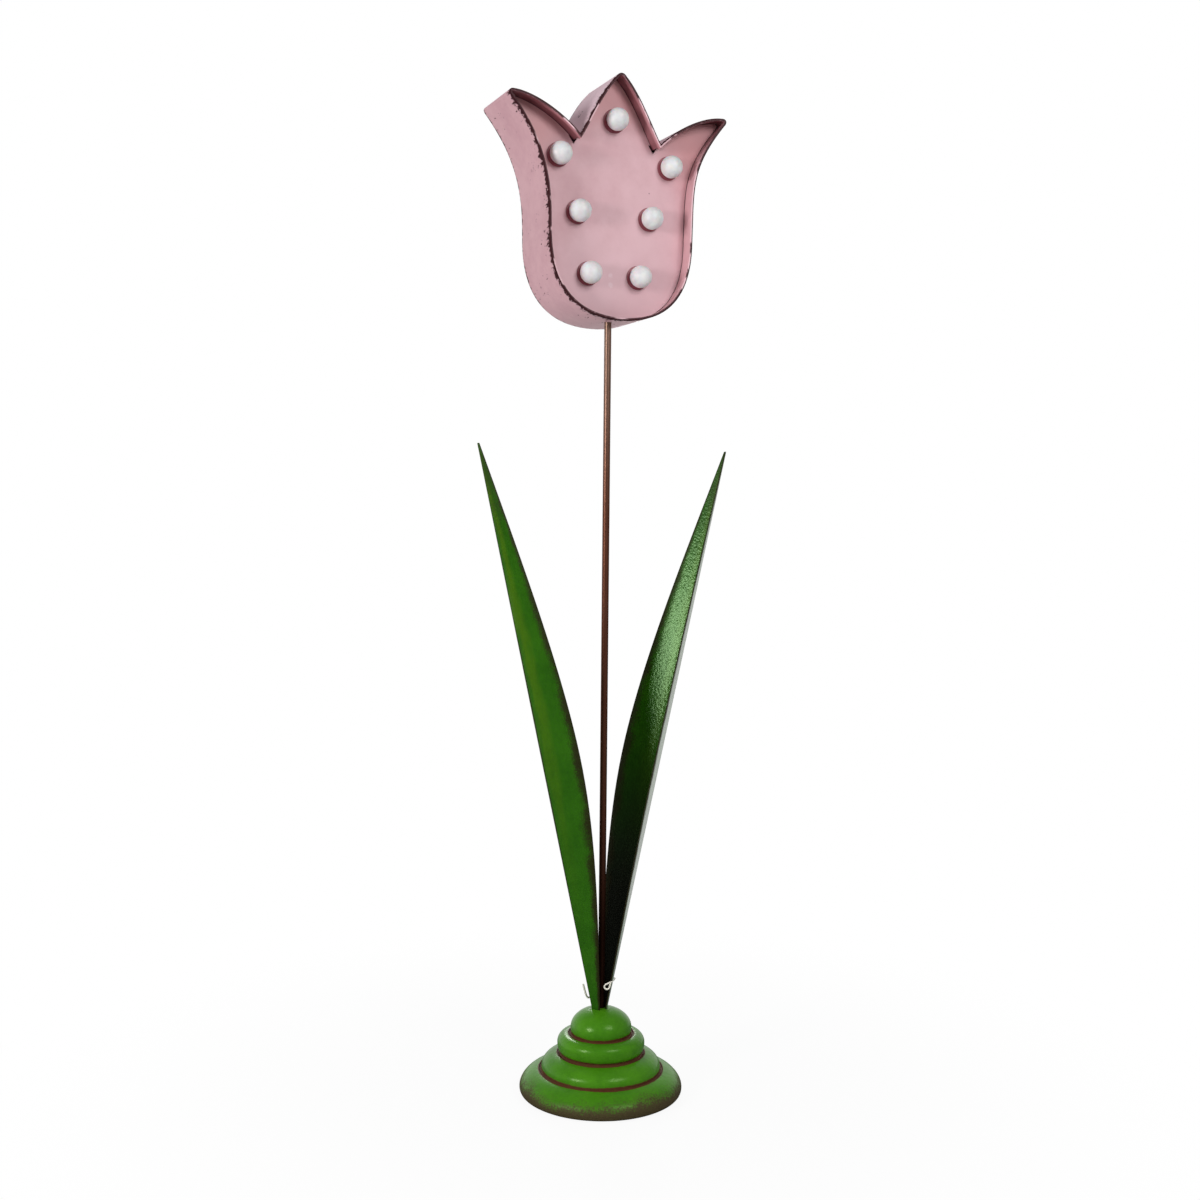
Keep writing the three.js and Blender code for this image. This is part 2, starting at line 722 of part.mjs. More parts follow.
function makeTabs() {
  const leg = block(
    [-TAB_WIDTH / 2, 0, tabBack],
    [TAB_WIDTH / 2, TAB_SHEET, tabBack + TAB_LEG],
  );
  const foot = block(
    [-TAB_WIDTH / 2, 0, tabBack],
    [TAB_WIDTH / 2, TAB_FOOT, tabBack + TAB_SHEET],
  );
  const hole = rodAlongZ(SCREW_RADIUS + SEAT_GAP, tabBack - 1, tabBack + TAB_SHEET + 1, 14);
  const body = leg.add(foot).subtract(hole.translate([0, TAB_SCREW, 0]));
  const screw = turned([
    [0, coverOuter - FINE_GAP - SCREW_HEAD],
    [0.7 * SCREW_HEAD_RADIUS, coverOuter - FINE_GAP - SCREW_HEAD],
    [SCREW_HEAD_RADIUS, coverOuter - FINE_GAP - 0.5 * SCREW_HEAD],
    [SCREW_HEAD_RADIUS, coverOuter - FINE_GAP],
    [SCREW_RADIUS, coverOuter - FINE_GAP],
    [SCREW_RADIUS, coverOuter + SCREW_LENGTH - 1],
    [0, coverOuter + SCREW_LENGTH],
  ], 12);
  tabPlaces.forEach((tab, index) => {
    const mesh = add(head, `cover_tab_${index + 1}`, body, paint.pink);
    mesh.position.set(tab.x, tab.y, 0);
    mesh.rotation.z = tab.turn;
    add(head, `cover_screw_${index + 1}`, screw, paint.steel).position.set(...tab.screw);
  });
}

const knobSlotHalf = [SWITCH_TRAVEL / 2 + KNOB[0] / 2 + SEAT_GAP, KNOB[1] / 2 + SEAT_GAP];
const switchScrewX = SWITCH_BODY[0] / 2 + SWITCH_EAR / 2;

function makeCover() {
  let cover = slab(new THREE.Shape(inset(HEAD_SHEET + SEAT_GAP)), coverOuter, coverInner);
  const below = coverOuter - 1;
  const above = coverInner + 1;
  const boxHole = block(
    [-boxHalf - SEAT_GAP, bayBottom - BOX_WALL - SEAT_GAP, below],
    [boxHalf + SEAT_GAP, bayTop + BOX_WALL + SEAT_GAP, above],
  );
  const knobHole = block(
    [-knobSlotHalf[0], SWITCH_Y - knobSlotHalf[1], below],
    [knobSlotHalf[0], SWITCH_Y + knobSlotHalf[1], above],
  );
  cover = cover.subtract(boxHole).subtract(knobHole);
  const screwHole = rodAlongZ(SCREW_RADIUS + SEAT_GAP, below, above, 14);
  for (const tab of tabPlaces) cover = cover.subtract(screwHole.translate(tab.screw));
  const smallHole = rodAlongZ(SMALL_SCREW_RADIUS + SEAT_GAP, below, above, 12);
  for (const side of [-1, 1]) {
    cover = cover.subtract(smallHole.translate([side * switchScrewX, SWITCH_Y, 0]));
  }
  add(head, 'rear_cover', cover, paint.pink);
}

// Battery box: a tray through the rear cover, with a flange and two rails for the sliding door
const flangeBack = coverOuter - FINE_GAP - FLANGE_THICK;
const doorFront = flangeBack - RUNNING_GAP;
const doorBack = doorFront - DOOR_THICK;
const lipFront = doorBack - RUNNING_GAP;
const lipBack = lipFront - RAIL_LIP_THICK;
const flangeHalf = boxHalf + FLANGE_LIP;
const railHalf = flangeHalf - RAIL_WALL;
const doorHalf = railHalf - RUNNING_GAP;
const doorBottom = bayBottom - DOOR_LAP;
const doorTop = bayTop + DOOR_LAP;
const sillTop = doorBottom - FINE_GAP;
const flangeBottom = sillTop - RAIL_WALL;
const sorted = (...values) => values.sort((a, b) => a - b);

function makeBatteryBox() {
  const tray = block(
    [-boxHalf, bayBottom - BOX_WALL, flangeBack],
    [boxHalf, bayTop + BOX_WALL, boxFront],
  );
  const flange = block(
    [-flangeHalf, flangeBottom, flangeBack],
    [flangeHalf, doorTop, coverOuter - FINE_GAP],
  );
  const sill = block([-flangeHalf, flangeBottom, lipBack], [flangeHalf, sillTop, flangeBack]);
  let box = tray.add(flange).add(sill);
  for (const side of [-1, 1]) {
    const [wallLow, wallHigh] = sorted(side * railHalf, side * flangeHalf);
    const [lipLow, lipHigh] = sorted(side * (railHalf - RAIL_LIP), side * flangeHalf);
    const [snapLow, snapHigh] = sorted(side * (boxHalf - BOX_WALL / 2), side * (boxHalf + SNAP_PROUD));
    const snapBack = coverInner + SEAT_GAP;
    box = box.add(block([wallLow, flangeBottom, lipBack], [wallHigh, doorTop, flangeBack]));
    box = box.add(block([lipLow, flangeBottom, lipBack], [lipHigh, doorTop, lipFront]));
    box = box.add(block(
      [snapLow, BAY_Y - SNAP_HALF, snapBack],
      [snapHigh, BAY_Y + SNAP_HALF, snapBack + SNAP_PROUD],
    ));
  }
  const bay = block([-bayHalf, bayBottom, flangeBack - 1], [bayHalf, bayTop, bayFloor]);
  add(head, 'battery_box', box.subtract(bay), paint.moulding);
}

function makeBatteryDoor() {
  let door = block([-doorHalf, doorBottom, doorBack], [doorHalf, doorTop, doorFront]);
  for (let i = 0; i < DOOR_RIBS; i += 1) {
    const top = doorTop - DOOR_RIB_PITCH * (i + 3);
    door = door.add(block(
      [-DOOR_RIB_HALF, top - DOOR_RIB_PITCH / 2, doorBack - RAIL_LIP_THICK],
      [DOOR_RIB_HALF, top, doorBack],
    ));
  }
  add(head, 'battery_door', door, paint.moulding);
}

// Cells stand side by side, one each way up; the bridge joins them at the top
const bridgeBack = bayTop - SEAT_GAP;
const bridgeFront = bridgeBack - CONTACT_SHEET;
const leftCellTop = bridgeFront - FINE_GAP;
const leftCellBottom = leftCellTop - CELL_NUB - CELL_BODY;
const studBottom = bayBottom + SEAT_GAP;
const rightCellBottom = studBottom + CONTACT_SHEET + STUD_HEIGHT + FINE_GAP;
const rightCellTop = rightCellBottom + CELL_NUB + CELL_BODY;

function makeCells() {
  const profile = [
    [0, 0],
    [CELL_RADIUS - 0.6, 0],
    [CELL_RADIUS, 0.6],
    [CELL_RADIUS, CELL_BODY - 0.6],
    [CELL_RADIUS - 0.6, CELL_BODY],
    [CELL_NUB_RADIUS, CELL_BODY],
    [CELL_NUB_RADIUS, CELL_BODY + CELL_NUB],
    [0, CELL_BODY + CELL_NUB],
  ];
  const cell = turned(profile, 20).rotate([-90, 0, 0]);
  const left = add(head, 'aa_cell_1', cell, paint.cell);
  left.position.set(-CELL_SPACING / 2, leftCellBottom, cellMiddleZ);
  const right = add(head, 'aa_cell_2', cell.rotate([180, 0, 0]), paint.cell);
  right.position.set(CELL_SPACING / 2, rightCellTop, cellMiddleZ);
}

// A contact's raised bump, pointing along +y
function bump(bottom, top) {
  const [wide, narrow] = BUMP_RADII;
  return turned([[0, bottom], [wide, bottom], [narrow, top], [0, top]], 12).rotate([-90, 0, 0]);
}

function makeContacts() {
  const half = CONTACT_HALF;
  const strap = block(
    [-CELL_SPACING / 2 - half, bridgeFront, cellMiddleZ - half],
    [CELL_SPACING / 2 + half, bridgeBack, cellMiddleZ + half],
  );
  const reach = bridgeFront - rightCellTop - FINE_GAP;
  const hanging = bump(-CONTACT_SHEET / 2, reach).rotate([180, 0, 0]);
  const placed = hanging.translate([CELL_SPACING / 2, bridgeFront, cellMiddleZ]);
  add(head, 'contact_bridge', strap.add(placed), paint.steel);

  const base = block([-half, 0, -half], [half, CONTACT_SHEET, half]);
  const stud = base.add(bump(CONTACT_SHEET / 2, CONTACT_SHEET + STUD_HEIGHT));
  const studMesh = add(head, 'contact_stud', stud, paint.steel);
  studMesh.position.set(CELL_SPACING / 2, studBottom, cellMiddleZ);

  const springRise = leftCellBottom - bayBottom - 2 * SEAT_GAP - 2 * SPRING_WIRE;
  const coil = [];
  const stepsPerTurn = 8;
  const steps = stepsPerTurn * SPRING_TURNS;
  for (let i = 0; i <= steps; i += 1) {
    const angle = (2 * Math.PI * i) / stepsPerTurn;
    const radius = THREE.MathUtils.lerp(...SPRING_RADII, i / steps);
    coil.push([radius * Math.cos(angle), (springRise * i) / steps, radius * Math.sin(angle)]);
  }
  const spring = add(head, 'contact_spring', tube(coil, SPRING_WIRE, 5, steps), paint.steel);
  spring.position.set(-CELL_SPACING / 2, bayBottom + SEAT_GAP + SPRING_WIRE, cellMiddleZ);
}

// Leads: one joins the lamps in order round the head, one joins the box and the switch
function makeLeads() {
  const z = ledLegEnd - FINE_GAP - LEAD_RADIUS;
  const [top, upLeft, upRight, midLeft, midRight, lowLeft, lowRight] = LIGHT_PLACES;
  const boxFace = boxFront + SEAT_GAP;
  const route = [
    [-10, bayBottom + 8, boxFace],
    [-10, bayBottom + 7, boxFace + 3],
    [-12, bayBottom + 3, z - 3],
    [-18, lowLeft[1] + 3, z],
    [lowLeft[0], lowLeft[1], z],
    [-33, 56, z],
    [midLeft[0], midLeft[1], z],
    [-47, 118, z],
    [upLeft[0], upLeft[1], z],
    [-42, 151, z],
    [-22, 165, z],
    [top[0], top[1], z],
    [22, 165, z],
    [42, 151, z],
    [upRight[0], upRight[1], z],
    [47, 118, z],
    [midRight[0], midRight[1], z],
    [33, 56, z],
    [lowRight[0], lowRight[1], z],
    [lowRight[0] - 4, lowRight[1] - 6, z],
  ];
  add(head, 'led_lead', tube(route, LEAD_RADIUS, 8, 60), paint.cable);
  const switchFace = coverInner + FINE_GAP + SWITCH_BODY[2] + SEAT_GAP;
  const short = [
    [6, bayBottom + 6, boxFace],
    [6, bayBottom + 5, boxFace + 4],
    [5, bayBottom - 6, boxFace + 5],
    [2, SWITCH_Y + 2, switchFace + 9],
    [2, SWITCH_Y, switchFace + 3],
    [2, SWITCH_Y, switchFace],
  ];
  add(head, 'switch_lead', tube(short, LEAD_RADIUS, 8, 14), paint.cable);
}

function makeSwitch() {
  const back = coverInner + FINE_GAP;
  const [width, height, depth] = SWITCH_BODY;
  const ears = block(
    [-width / 2 - SWITCH_EAR, -height / 2, back],
    [width / 2 + SWITCH_EAR, height / 2, back + SWITCH_EAR_THICK],
  );
  let body = block([-width / 2, -height / 2, back], [width / 2, height / 2, back + depth]).add(ears);
  const [baseWidth, baseHeight, baseDepth] = KNOB_BASE;
  const pocket = [SWITCH_TRAVEL / 2 + baseWidth / 2 + SEAT_GAP, baseHeight / 2 + SEAT_GAP];
  body = body.subtract(block(
    [-pocket[0], -pocket[1], back - 1],
    [pocket[0], pocket[1], back + baseDepth + 2 * SEAT_GAP],
  ));
  const hole = rodAlongZ(SMALL_SCREW_RADIUS + SEAT_GAP, back - 1, back + SWITCH_EAR_THICK + 1, 12);
  const screw = turned([
    [0, coverOuter - FINE_GAP - SMALL_SCREW_HEAD],
    [SMALL_SCREW_HEAD_RADIUS, coverOuter - FINE_GAP - 0.6 * SMALL_SCREW_HEAD],
    [SMALL_SCREW_HEAD_RADIUS, coverOuter - FINE_GAP],
    [SMALL_SCREW_RADIUS, coverOuter - FINE_GAP],
    [SMALL_SCREW_RADIUS, back + SWITCH_EAR_THICK + 1.5],
    [0, back + SWITCH_EAR_THICK + 1.5],
  ], 10);
  [-1, 1].forEach((side, index) => {
    body = body.subtract(hole.translate([side * switchScrewX, 0, 0]));
    const mesh = add(head, `switch_screw_${index + 1}`, screw, paint.steel);
    mesh.position.set(side * switchScrewX, SWITCH_Y, 0);
  });
  add(head, 'switch_body', body, paint.moulding).position.y = SWITCH_Y;
  const baseBack = back + SEAT_GAP;
  const grip = block(
    [-KNOB[0] / 2, -KNOB[1] / 2, coverOuter - KNOB_PROUD],
    [KNOB[0] / 2, KNOB[1] / 2, baseBack],
  );
  const foot = block(
    [-baseWidth / 2, -baseHeight / 2, baseBack],
    [baseWidth / 2, baseHeight / 2, baseBack + baseDepth],
  );
  const mesh = add(head, 'switch_knob', grip.add(foot), paint.moulding);
  mesh.position.set(-SWITCH_TRAVEL / 2, SWITCH_Y, 0);
}

makeBand();
makePlate();
makeWelds();
makeLights();
makeTabs();
makeCover();
makeBatteryBox();
makeBatteryDoor();
makeCells();
makeContacts();
makeLeads();
makeSwitch();

export default model;
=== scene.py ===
"""Looks of the light-up tulip decoration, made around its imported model.

Metres, +Z up, the head's lit face towards -Y. The origin is the centre of the base's underside.
Head sizes are measured from the head's own zero: the lights' middle line and the band's lowest
point."""
import math

import bmesh
import bpy
from mathutils import Matrix, Vector


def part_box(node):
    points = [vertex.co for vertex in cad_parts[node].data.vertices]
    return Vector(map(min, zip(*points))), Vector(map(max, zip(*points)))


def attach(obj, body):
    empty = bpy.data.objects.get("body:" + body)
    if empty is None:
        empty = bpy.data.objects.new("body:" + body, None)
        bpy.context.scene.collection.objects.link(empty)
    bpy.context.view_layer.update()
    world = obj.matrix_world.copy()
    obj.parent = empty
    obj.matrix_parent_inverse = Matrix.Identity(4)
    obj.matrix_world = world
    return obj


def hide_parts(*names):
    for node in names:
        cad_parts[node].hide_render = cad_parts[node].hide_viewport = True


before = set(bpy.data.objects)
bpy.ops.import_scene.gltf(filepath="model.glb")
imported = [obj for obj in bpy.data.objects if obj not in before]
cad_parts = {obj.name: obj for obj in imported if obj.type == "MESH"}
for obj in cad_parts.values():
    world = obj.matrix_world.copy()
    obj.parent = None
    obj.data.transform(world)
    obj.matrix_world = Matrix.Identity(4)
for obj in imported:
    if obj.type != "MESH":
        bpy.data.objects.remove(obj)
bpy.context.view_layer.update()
bpy.ops.object.select_all(action="DESELECT")

MM = 0.001
TINY = 0.01 * MM

# Camera, fitted to the photograph
IMAGE_SIZE = 1200
FOCAL_PIXELS = 1425.1
SENSOR_WIDTH = 36
CAMERA_DISTANCE = 1286.45 * MM
CAMERA_HEIGHT = 515.92 * MM
CAMERA_AZIMUTH = math.radians(25.0165)
CAMERA_PITCH = math.radians(2.8522)
CAMERA_ROLL = math.radians(0.5529)
CAMERA_YAW = math.radians(-0.2085)

# Lamps: place, the point each is aimed at, side and power
LAMPS = {
    "left softbox": ((-1.42, -0.47, 0.76), (0, 0, 0.55), 0.36, 12),
    "front lamp": ((0.25, -1.27, 1.23), (0, 0, 0.5), 0.55, 8.5),
    "back lamp": ((0.5, 1.4, 1), (0, 0, 0.6), 0.5, 9),
}
AMBIENT = 0.34
FLOOR_SIZE = 12
FLOOR_Z = -0.1 * MM
FLOOR_GREY = (0.8, 0.8, 0.8, 1)
FLOOR_GREY_IN_GLOSS = (0.2, 0.2, 0.2, 1)
FLOOR_GLOW = 0.93
GLOW_RISE = (0.12, 0.6)
BEHIND = (0.1, 0.5)
WHITE = (1, 1, 1, 1)

# Base
FOOT_RADIUS = 71.3 * MM
RIM_RADIUS = 74.4 * MM
RIM_Z = 6.2 * MM
FLANGE_GROOVE = (55.6 * MM, 22.3 * MM)
SHOULDER_GROOVE = (38.6 * MM, 37.6 * MM)
RING_RADIUS = 40 * MM
RING_Z = 46.6 * MM
RING_GROOVE = (28.6 * MM, 55 * MM)
GROOVE_DEPTH = 1.4 * MM
GROOVE_HALF = 1.3 * MM
GROOVE_LINE_HALF = 2.15 * MM
DOME_RADIUS = 27.9 * MM
DOME_WIDEST_Z = 60.5 * MM
DOME_TOP_Z = 78.5 * MM
DOME_STEPS = 14
BORE_RADIUS = 3.475 * MM
COUNTERBORE_RADIUS = 12 * MM
COUNTERBORE_TOP_Z = 14.5 * MM
FOOT_EDGE_Z = 6 * MM
BASE_STEPS = 96
BASE_PEEL = 0.11 * MM

# Leaves
LEAF_SHEET = 1 * MM
LEAF_FOLD_HALF = math.radians(55)
LEAF_ROOT_X = {"right": 7 * MM, "left": 9.8 * MM}
LEAF_TIP = (123.4 * MM, 589 * MM)
LEAF_ROOT_Z = 80 * MM
LEAF_ROOT_WIDTH = 8.5 * MM
LEAF_WIDTH = 41.3 * MM
LEAF_TIP_WIDTH = 1.8 * MM
LEAF_WIDEST_AT = 0.45
LEAF_CURVE_STEPS = 60
LEAF_ROWS = 44
LEAF_COLUMNS = 8
LEAF_EASE = 0.35 * MM
LEAF_PEEL = 0.12 * MM
LEAF_CUP = 0.115
TANG_WIDTH = 7.5 * MM
TANG_Z = 64 * MM

# Head
HEAD_X = 1.95 * MM
HEAD_Z = 700.3 * MM
PETALS_Z = HEAD_Z + 100 * MM
BAND_FRONT_Y = -20.575 * MM
BAND_BACK_Y = BAND_FRONT_Y + 63.8 * MM
BAND_SHEET = 1 * MM
HEM_THICK = 2.2 * MM
HEM_DEPTH = 5 * MM
HEM_EASE = 0.35 * MM
BODY_HALF_WIDTH = 69.8 * MM
BODY_STRAIGHT_Z = 75 * MM
BODY_SWAY = 2 * MM
SWAY_FULL_Z = 90 * MM
SWAY_NONE_Z = 150 * MM
PETAL_TIP = (104.6 * MM, 183 * MM)
NOTCH = (39 * MM, 157.4 * MM)
CROWN_Z = 214.7 * MM
TIP_BLUNT = (3.8 * MM, 4.9 * MM)
CROWN_BLUNT = (4.6 * MM, 2.8 * MM)
OUTLINE_STEPS = (24, 26, 7, 20, 20, 5)
PLATE_FRONT_Y = -4.575 * MM
PLATE_SHEET = 0.9 * MM
PLATE_GAP = 0.3 * MM
NICK_DEPTH = 5 * MM
NICK_HALF = 5 * MM
TOP_LIGHT = (0, 176.6 * MM)
LIGHT_PAIRS = [(54 * MM, 141.2 * MM), (35.3 * MM, 93.7 * MM), (24.4 * MM, 41 * MM)]
LIGHT_PLACES = [TOP_LIGHT, *((side * x, z) for x, z in LIGHT_PAIRS for side in (-1, 1))]
GLOBE_RADIUS = 9.95 * MM
GLOBE_STAND = 8 * MM
GLOBE_OUTER_STEPS = 22
GLOBE_INNER_STEPS = 8
HOLDER_RADIUS = 10.6 * MM
HOLDER_RIM = 1 * MM
SLEEVE_RADIUS = 6 * MM
ROUND_STEPS = 48

# Wear, marks, painted shade and painted reflection on the head
WORN_SIDE = (HEAD_X - BODY_HALF_WIDTH, BAND_FRONT_Y, HEAD_Z + 110 * MM)
WORN_SIDE_REACH = (95 * MM, 40 * MM)
WORN_TIPS_REACH = (78 * MM, 104 * MM)
SHADED_TIPS_REACH = (86 * MM, 117 * MM)
REFLECTION_TIPS_REACH = (58 * MM, 96 * MM)
PALE_PLATE_Z = (790 * MM, 710 * MM)
WELD_MARKS = [(733 * MM, 3.2 * MM), (741.5 * MM, 2.8 * MM)]
SPECK_PLACE = (37.5 * MM, PLATE_FRONT_Y, 817.5 * MM)
FINE_GRAIN = 900

# Nylon loop
TAG_TURN = math.radians(-25)
TAG_EYE = (0.9 * MM, -9.9 * MM, 100 * MM)
TAG_EYE_RADIUS = 2.4 * MM
TAG_EYE_STRAND = 0.85 * MM
TAG_EYE_DEGREES = range(100, 361, 26)
TAG_TIP = (3.6 * MM, 4.4 * MM)
TAG_STRAND = 0.55 * MM
TAG_ARM = [(4.2, -11.4, 104.4), (7.8, -9.4, 104.5), (10.8, -5.1, 104.2), (14.3, 0, 103.4),
           (10.8, 5.3, 102.4), (7.6, 9.6, 101), (4.6, 12.6, 97), (0.8, 12.4, 91), (-3.5, 13.6, 85.2)]
TAG_TAIL = [(-3.5, 13.4, 84.4), (-7.6, 13.3, 83.8), (-9.6, 12.9, 87), (-11.4, 12.5, 92.5),
            (-13, 12.1, 98)]

# Battery door, box, knob and screws
DOOR_RIBS = 5
DOOR_RIB_HALF = 9 * MM
DOOR_RIB_PITCH = 2.2 * MM
DOOR_RIB_RISE = 0.6 * MM
DOOR_RIB_ROOT = 0.3 * MM
DOOR_EASE = 0.3 * MM
RIB_EASE = 0.2 * MM
BOX_EASE = 0.35 * MM
KNOB_EASE = 0.25 * MM
COVER_SCREW_CROSS = 3.4 * MM
SWITCH_SCREW_CROSS = 2.3 * MM
CROSS_TURN = 0.25
SCREW_STEPS = 32


# Mesh work
def active(name):
    """The piece that the last operator made, under its own name"""
    piece = bpy.context.active_object
    piece.name = name
    piece.data.name = name
    return piece


def only(piece):
    bpy.ops.object.select_all(action="DESELECT")
    piece.select_set(True)
    bpy.context.view_layer.objects.active = piece


def start_edit():
    bpy.ops.object.mode_set(mode="EDIT")


def end_edit():
    bpy.ops.object.mode_set(mode="OBJECT")


def take_all():
    bpy.ops.mesh.select_all(action="SELECT")


def merge_doubles():
    bpy.ops.mesh.remove_doubles(threshold=TINY)


def face_outwards():
    take_all()
    bpy.ops.mesh.normals_make_consistent(inside=False)


def draw_out(move):
    bpy.ops.mesh.extrude_region_move(TRANSFORM_OT_translate={"value": move})


def choose(piece, kind, test):
    """In edit mode, selects the corners, edges or faces whose middle passes the test"""
    bpy.ops.mesh.select_mode(type=kind)
    bpy.ops.mesh.select_all(action="DESELECT")
    mesh = bmesh.from_edit_mesh(piece.data)
    for corner in mesh.verts:
        corner.select = False
    for part in {"VERT": mesh.verts, "EDGE": mesh.edges, "FACE": mesh.faces}[kind]:
        corners = [part] if kind == "VERT" else part.verts
        middle = sum((corner.co for corner in corners), Vector()) / len(corners)
        if test(middle, part):
            part.select_set(True)
    mesh.select_flush_mode()
    bmesh.update_edit_mesh(piece.data)


def modify(piece, kind, **settings):
    only(piece)
    modifier = piece.modifiers.new(kind.title(), kind)
    for key, value in settings.items():
        setattr(modifier, key, value)
    bpy.ops.object.modifier_apply(modifier=modifier.name)


def break_edges(piece, width):
    modify(piece, "BEVEL", width=width, segments=2, limit_method="ANGLE", angle_limit=math.radians(40))


def shade_moulding(piece):
    """Flat faces that meet in softly lit edges"""
    only(piece)
    bpy.ops.object.shade_smooth_by_angle(angle=math.radians(35))
    modify(piece, "WEIGHTED_NORMAL", keep_sharp=True, weight=100)


def done(piece, key, node, body="tulip", angle=35):
    """Fixes the place in the mesh, gives the finish and ties the piece to the model"""
    only(piece)
    bpy.ops.object.transform_apply(location=True, rotation=True, scale=True)
    if angle:
        bpy.ops.object.shade_smooth_by_angle(angle=math.radians(angle))
    if not piece.data.materials:
        piece.data.materials.append(finish[key])
    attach(piece, body)
    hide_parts(node)
    bpy.ops.object.select_all(action="DESELECT")


def draw_line(name, places):
    """One corner drawn out through all the places, left in edit mode"""
    bpy.ops.mesh.primitive_plane_add(size=1 * MM, location=(0, 0, 0))
    piece = active(name)
    start_edit()
    bpy.ops.mesh.select_mode(type="VERT")
    take_all()
    bpy.ops.mesh.merge(type="CENTER")
    bpy.ops.transform.translate(value=places[0])
    for before, after in zip(places, places[1:]):
        draw_out(after - before)
    take_all()
    return piece


def turn(name, profile, steps, centre=(0, 0, 0), axis=(0, 0, 1)):
    """A turned piece: a profile of (radius, height) spun round its axis"""
    axis = Vector(axis)
    across = Vector((1, 0, 0))
    piece = draw_line(name, [
        Vector(centre) + across * radius + axis * height for radius, height in profile
    ])
    bpy.ops.mesh.spin(steps=steps, angle=math.tau, center=centre, axis=axis)
    take_all()
    merge_doubles()
    face_outwards()
    end_edit()
    return piece


def flat_face(name, places):
    """A flat face through the places, left in edit mode"""
    piece = draw_line(name, [*places, places[0]])
    merge_doubles()
    take_all()
    bpy.ops.mesh.edge_face_add()
    return piece


def join(piece, *others):
    """Makes the others part of a piece"""
    only(piece)
    for other in others:
        other.select_set(True)
    bpy.ops.object.join()


def copy_of(piece, name, move=(0, 0, 0)):
    """A free copy with its own mesh, moved to its place"""
    made = piece.copy()
    made.data = piece.data.copy()
    bpy.context.scene.collection.objects.link(made)
    made.name = name
    made.data.name = name
    made.parent = None
    made.matrix_world = Matrix.Translation(move)
    return made


def softened(node, width, body="tulip"):
    """A copy of a black CAD solid with its edges broken by a small bevel"""
    piece = copy_of(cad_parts[node], node + "_finished")
    for key in list(piece.keys()):
        del piece[key]
    only(piece)
    start_edit()
    take_all()
    merge_doubles()
    end_edit()
    break_edges(piece, width)
    piece.data.materials.clear()
    shade_moulding(piece)
    done(piece, "black", node, body, angle=0)


def bezier(start, first, second, end, steps):
    """Points along one curve, without its last"""
    points = []
    for step in range(steps):
        t = step / steps
        u = 1 - t
        points.append(tuple(
            u ** 3 * a + 3 * u * u * t * b + 3 * u * t * t * c + t ** 3 * d
            for a, b, c, d in zip(start, first, second, end)
        ))
    return points


# Colours
def rgb(red, green, blue):
    """A screen colour of 0 to 255 as the linear colour that a shader takes"""
    def linear(value):
        share = value / 255
        return share / 12.92 if share <= 0.04045 else ((share + 0.055) / 1.055) ** 2.4
    return (linear(red), linear(green), linear(blue), 1)


BAND_PINK = (rgb(188, 144, 152), rgb(201, 159, 166))
BAND_PAINTED_SHEEN_PINK = rgb(230, 204, 213)
BARE_STEEL = (rgb(30, 2, 6), rgb(66, 12, 22))
INSIDE_PINK = (rgb(204, 156, 162), rgb(214, 168, 174))
PAINTED_UNDERSIDE_SHADE = rgb(168, 92, 100)
PAINTED_RECESS_SHADE = rgb(92, 28, 37)
PAINTED_HEM_HIGHLIGHT = rgb(232, 194, 202)
RIM_WEAR_AND_CORNER_SHADE = (rgb(34, 8, 12), rgb(74, 26, 32))
PLATE_PINK = (rgb(200, 154, 161), rgb(216, 176, 183))
PALE_PLATE_PINK = rgb(222, 186, 193)
PAINTED_WALL_REFLECTION_PINK = rgb(203, 143, 146)
WELD_PINK = rgb(228, 200, 206)
SPECK_BROWN = rgb(120, 78, 86)
BACK_PINK = (rgb(190, 150, 155), rgb(203, 166, 170))
RUBBED_PINK = rgb(168, 124, 130)
PLUM = (rgb(132, 60, 70), rgb(148, 72, 84))
FROSTED_WHITE = (rgb(214, 212, 213), rgb(229, 227, 228))
LEAF_GREEN = (rgb(32, 80, 6), rgb(44, 96, 10))
LEAF_PAINTED_LIGHT = rgb(76, 110, 12)
LEAF_SHADE = rgb(38, 34, 36)
LEAF_BROWN = rgb(34, 22, 8)
LEAF_GLOSS = (0.62, 1, 0.5, 1)
BASE_GREEN = (rgb(58, 119, 14), rgb(73, 137, 20))
GROOVE_BROWN = (rgb(72, 36, 20), rgb(94, 50, 32))
FOOT_BROWN = (rgb(46, 38, 23), rgb(84, 71, 46))
BASE_GLOSS = (0.8, 1, 0.55, 1)
ROD_BROWN = (rgb(82, 46, 34), rgb(108, 68, 52))
ROD_COPPER = (rgb(104, 78, 66), rgb(136, 110, 96))
ROD_PAINTED_SHADE = (rgb(32, 15, 10), rgb(50, 28, 20))
ROD_GLOSS = (0.3, 0.2, 0.15, 1)


# Shader nodes
def feed(socket, value):
    """Gives a socket a value, or another node's output"""
    if isinstance(value, bpy.types.NodeSocket):
        socket.id_data.links.new(value, socket)
    else:
        socket.default_value = value


def place_node(kind, inputs, **settings):
    """A node with its settings and what goes into it, in the tree that this comes from"""
    tree = next(value.id_data for value in inputs.values() if isinstance(value, bpy.types.NodeSocket))
    node = tree.nodes.new(kind)
    for key, value in settings.items():
        setattr(node, key, value)
    for key, value in inputs.items():
        feed(node.inputs[key], value)
    return node


def sums(operation, *values, clamp=False):
    """The result of one Math node"""
    inputs = dict(enumerate(values))
    return place_node("ShaderNodeMath", inputs, operation=operation, use_clamp=clamp).outputs[0]


def chain(operation):
    """One of the Math node's operations, over any number of values"""
    def over(first, *others):
        for other in others:
            first = sums(operation, first, other)
        return first
    return over


plus = chain("ADD")
minus = chain("SUBTRACT")
times = chain("MULTIPLY")
most = chain("MAXIMUM")


def swing(value, amount):
    """A noise about 0.5 as a shift to both sides"""
    return times(minus(value, 0.5), amount)


def long_side(first, second):
    """The long side across a right angle between two others"""
    return sums("SQRT", plus(times(first, first), times(second, second)))


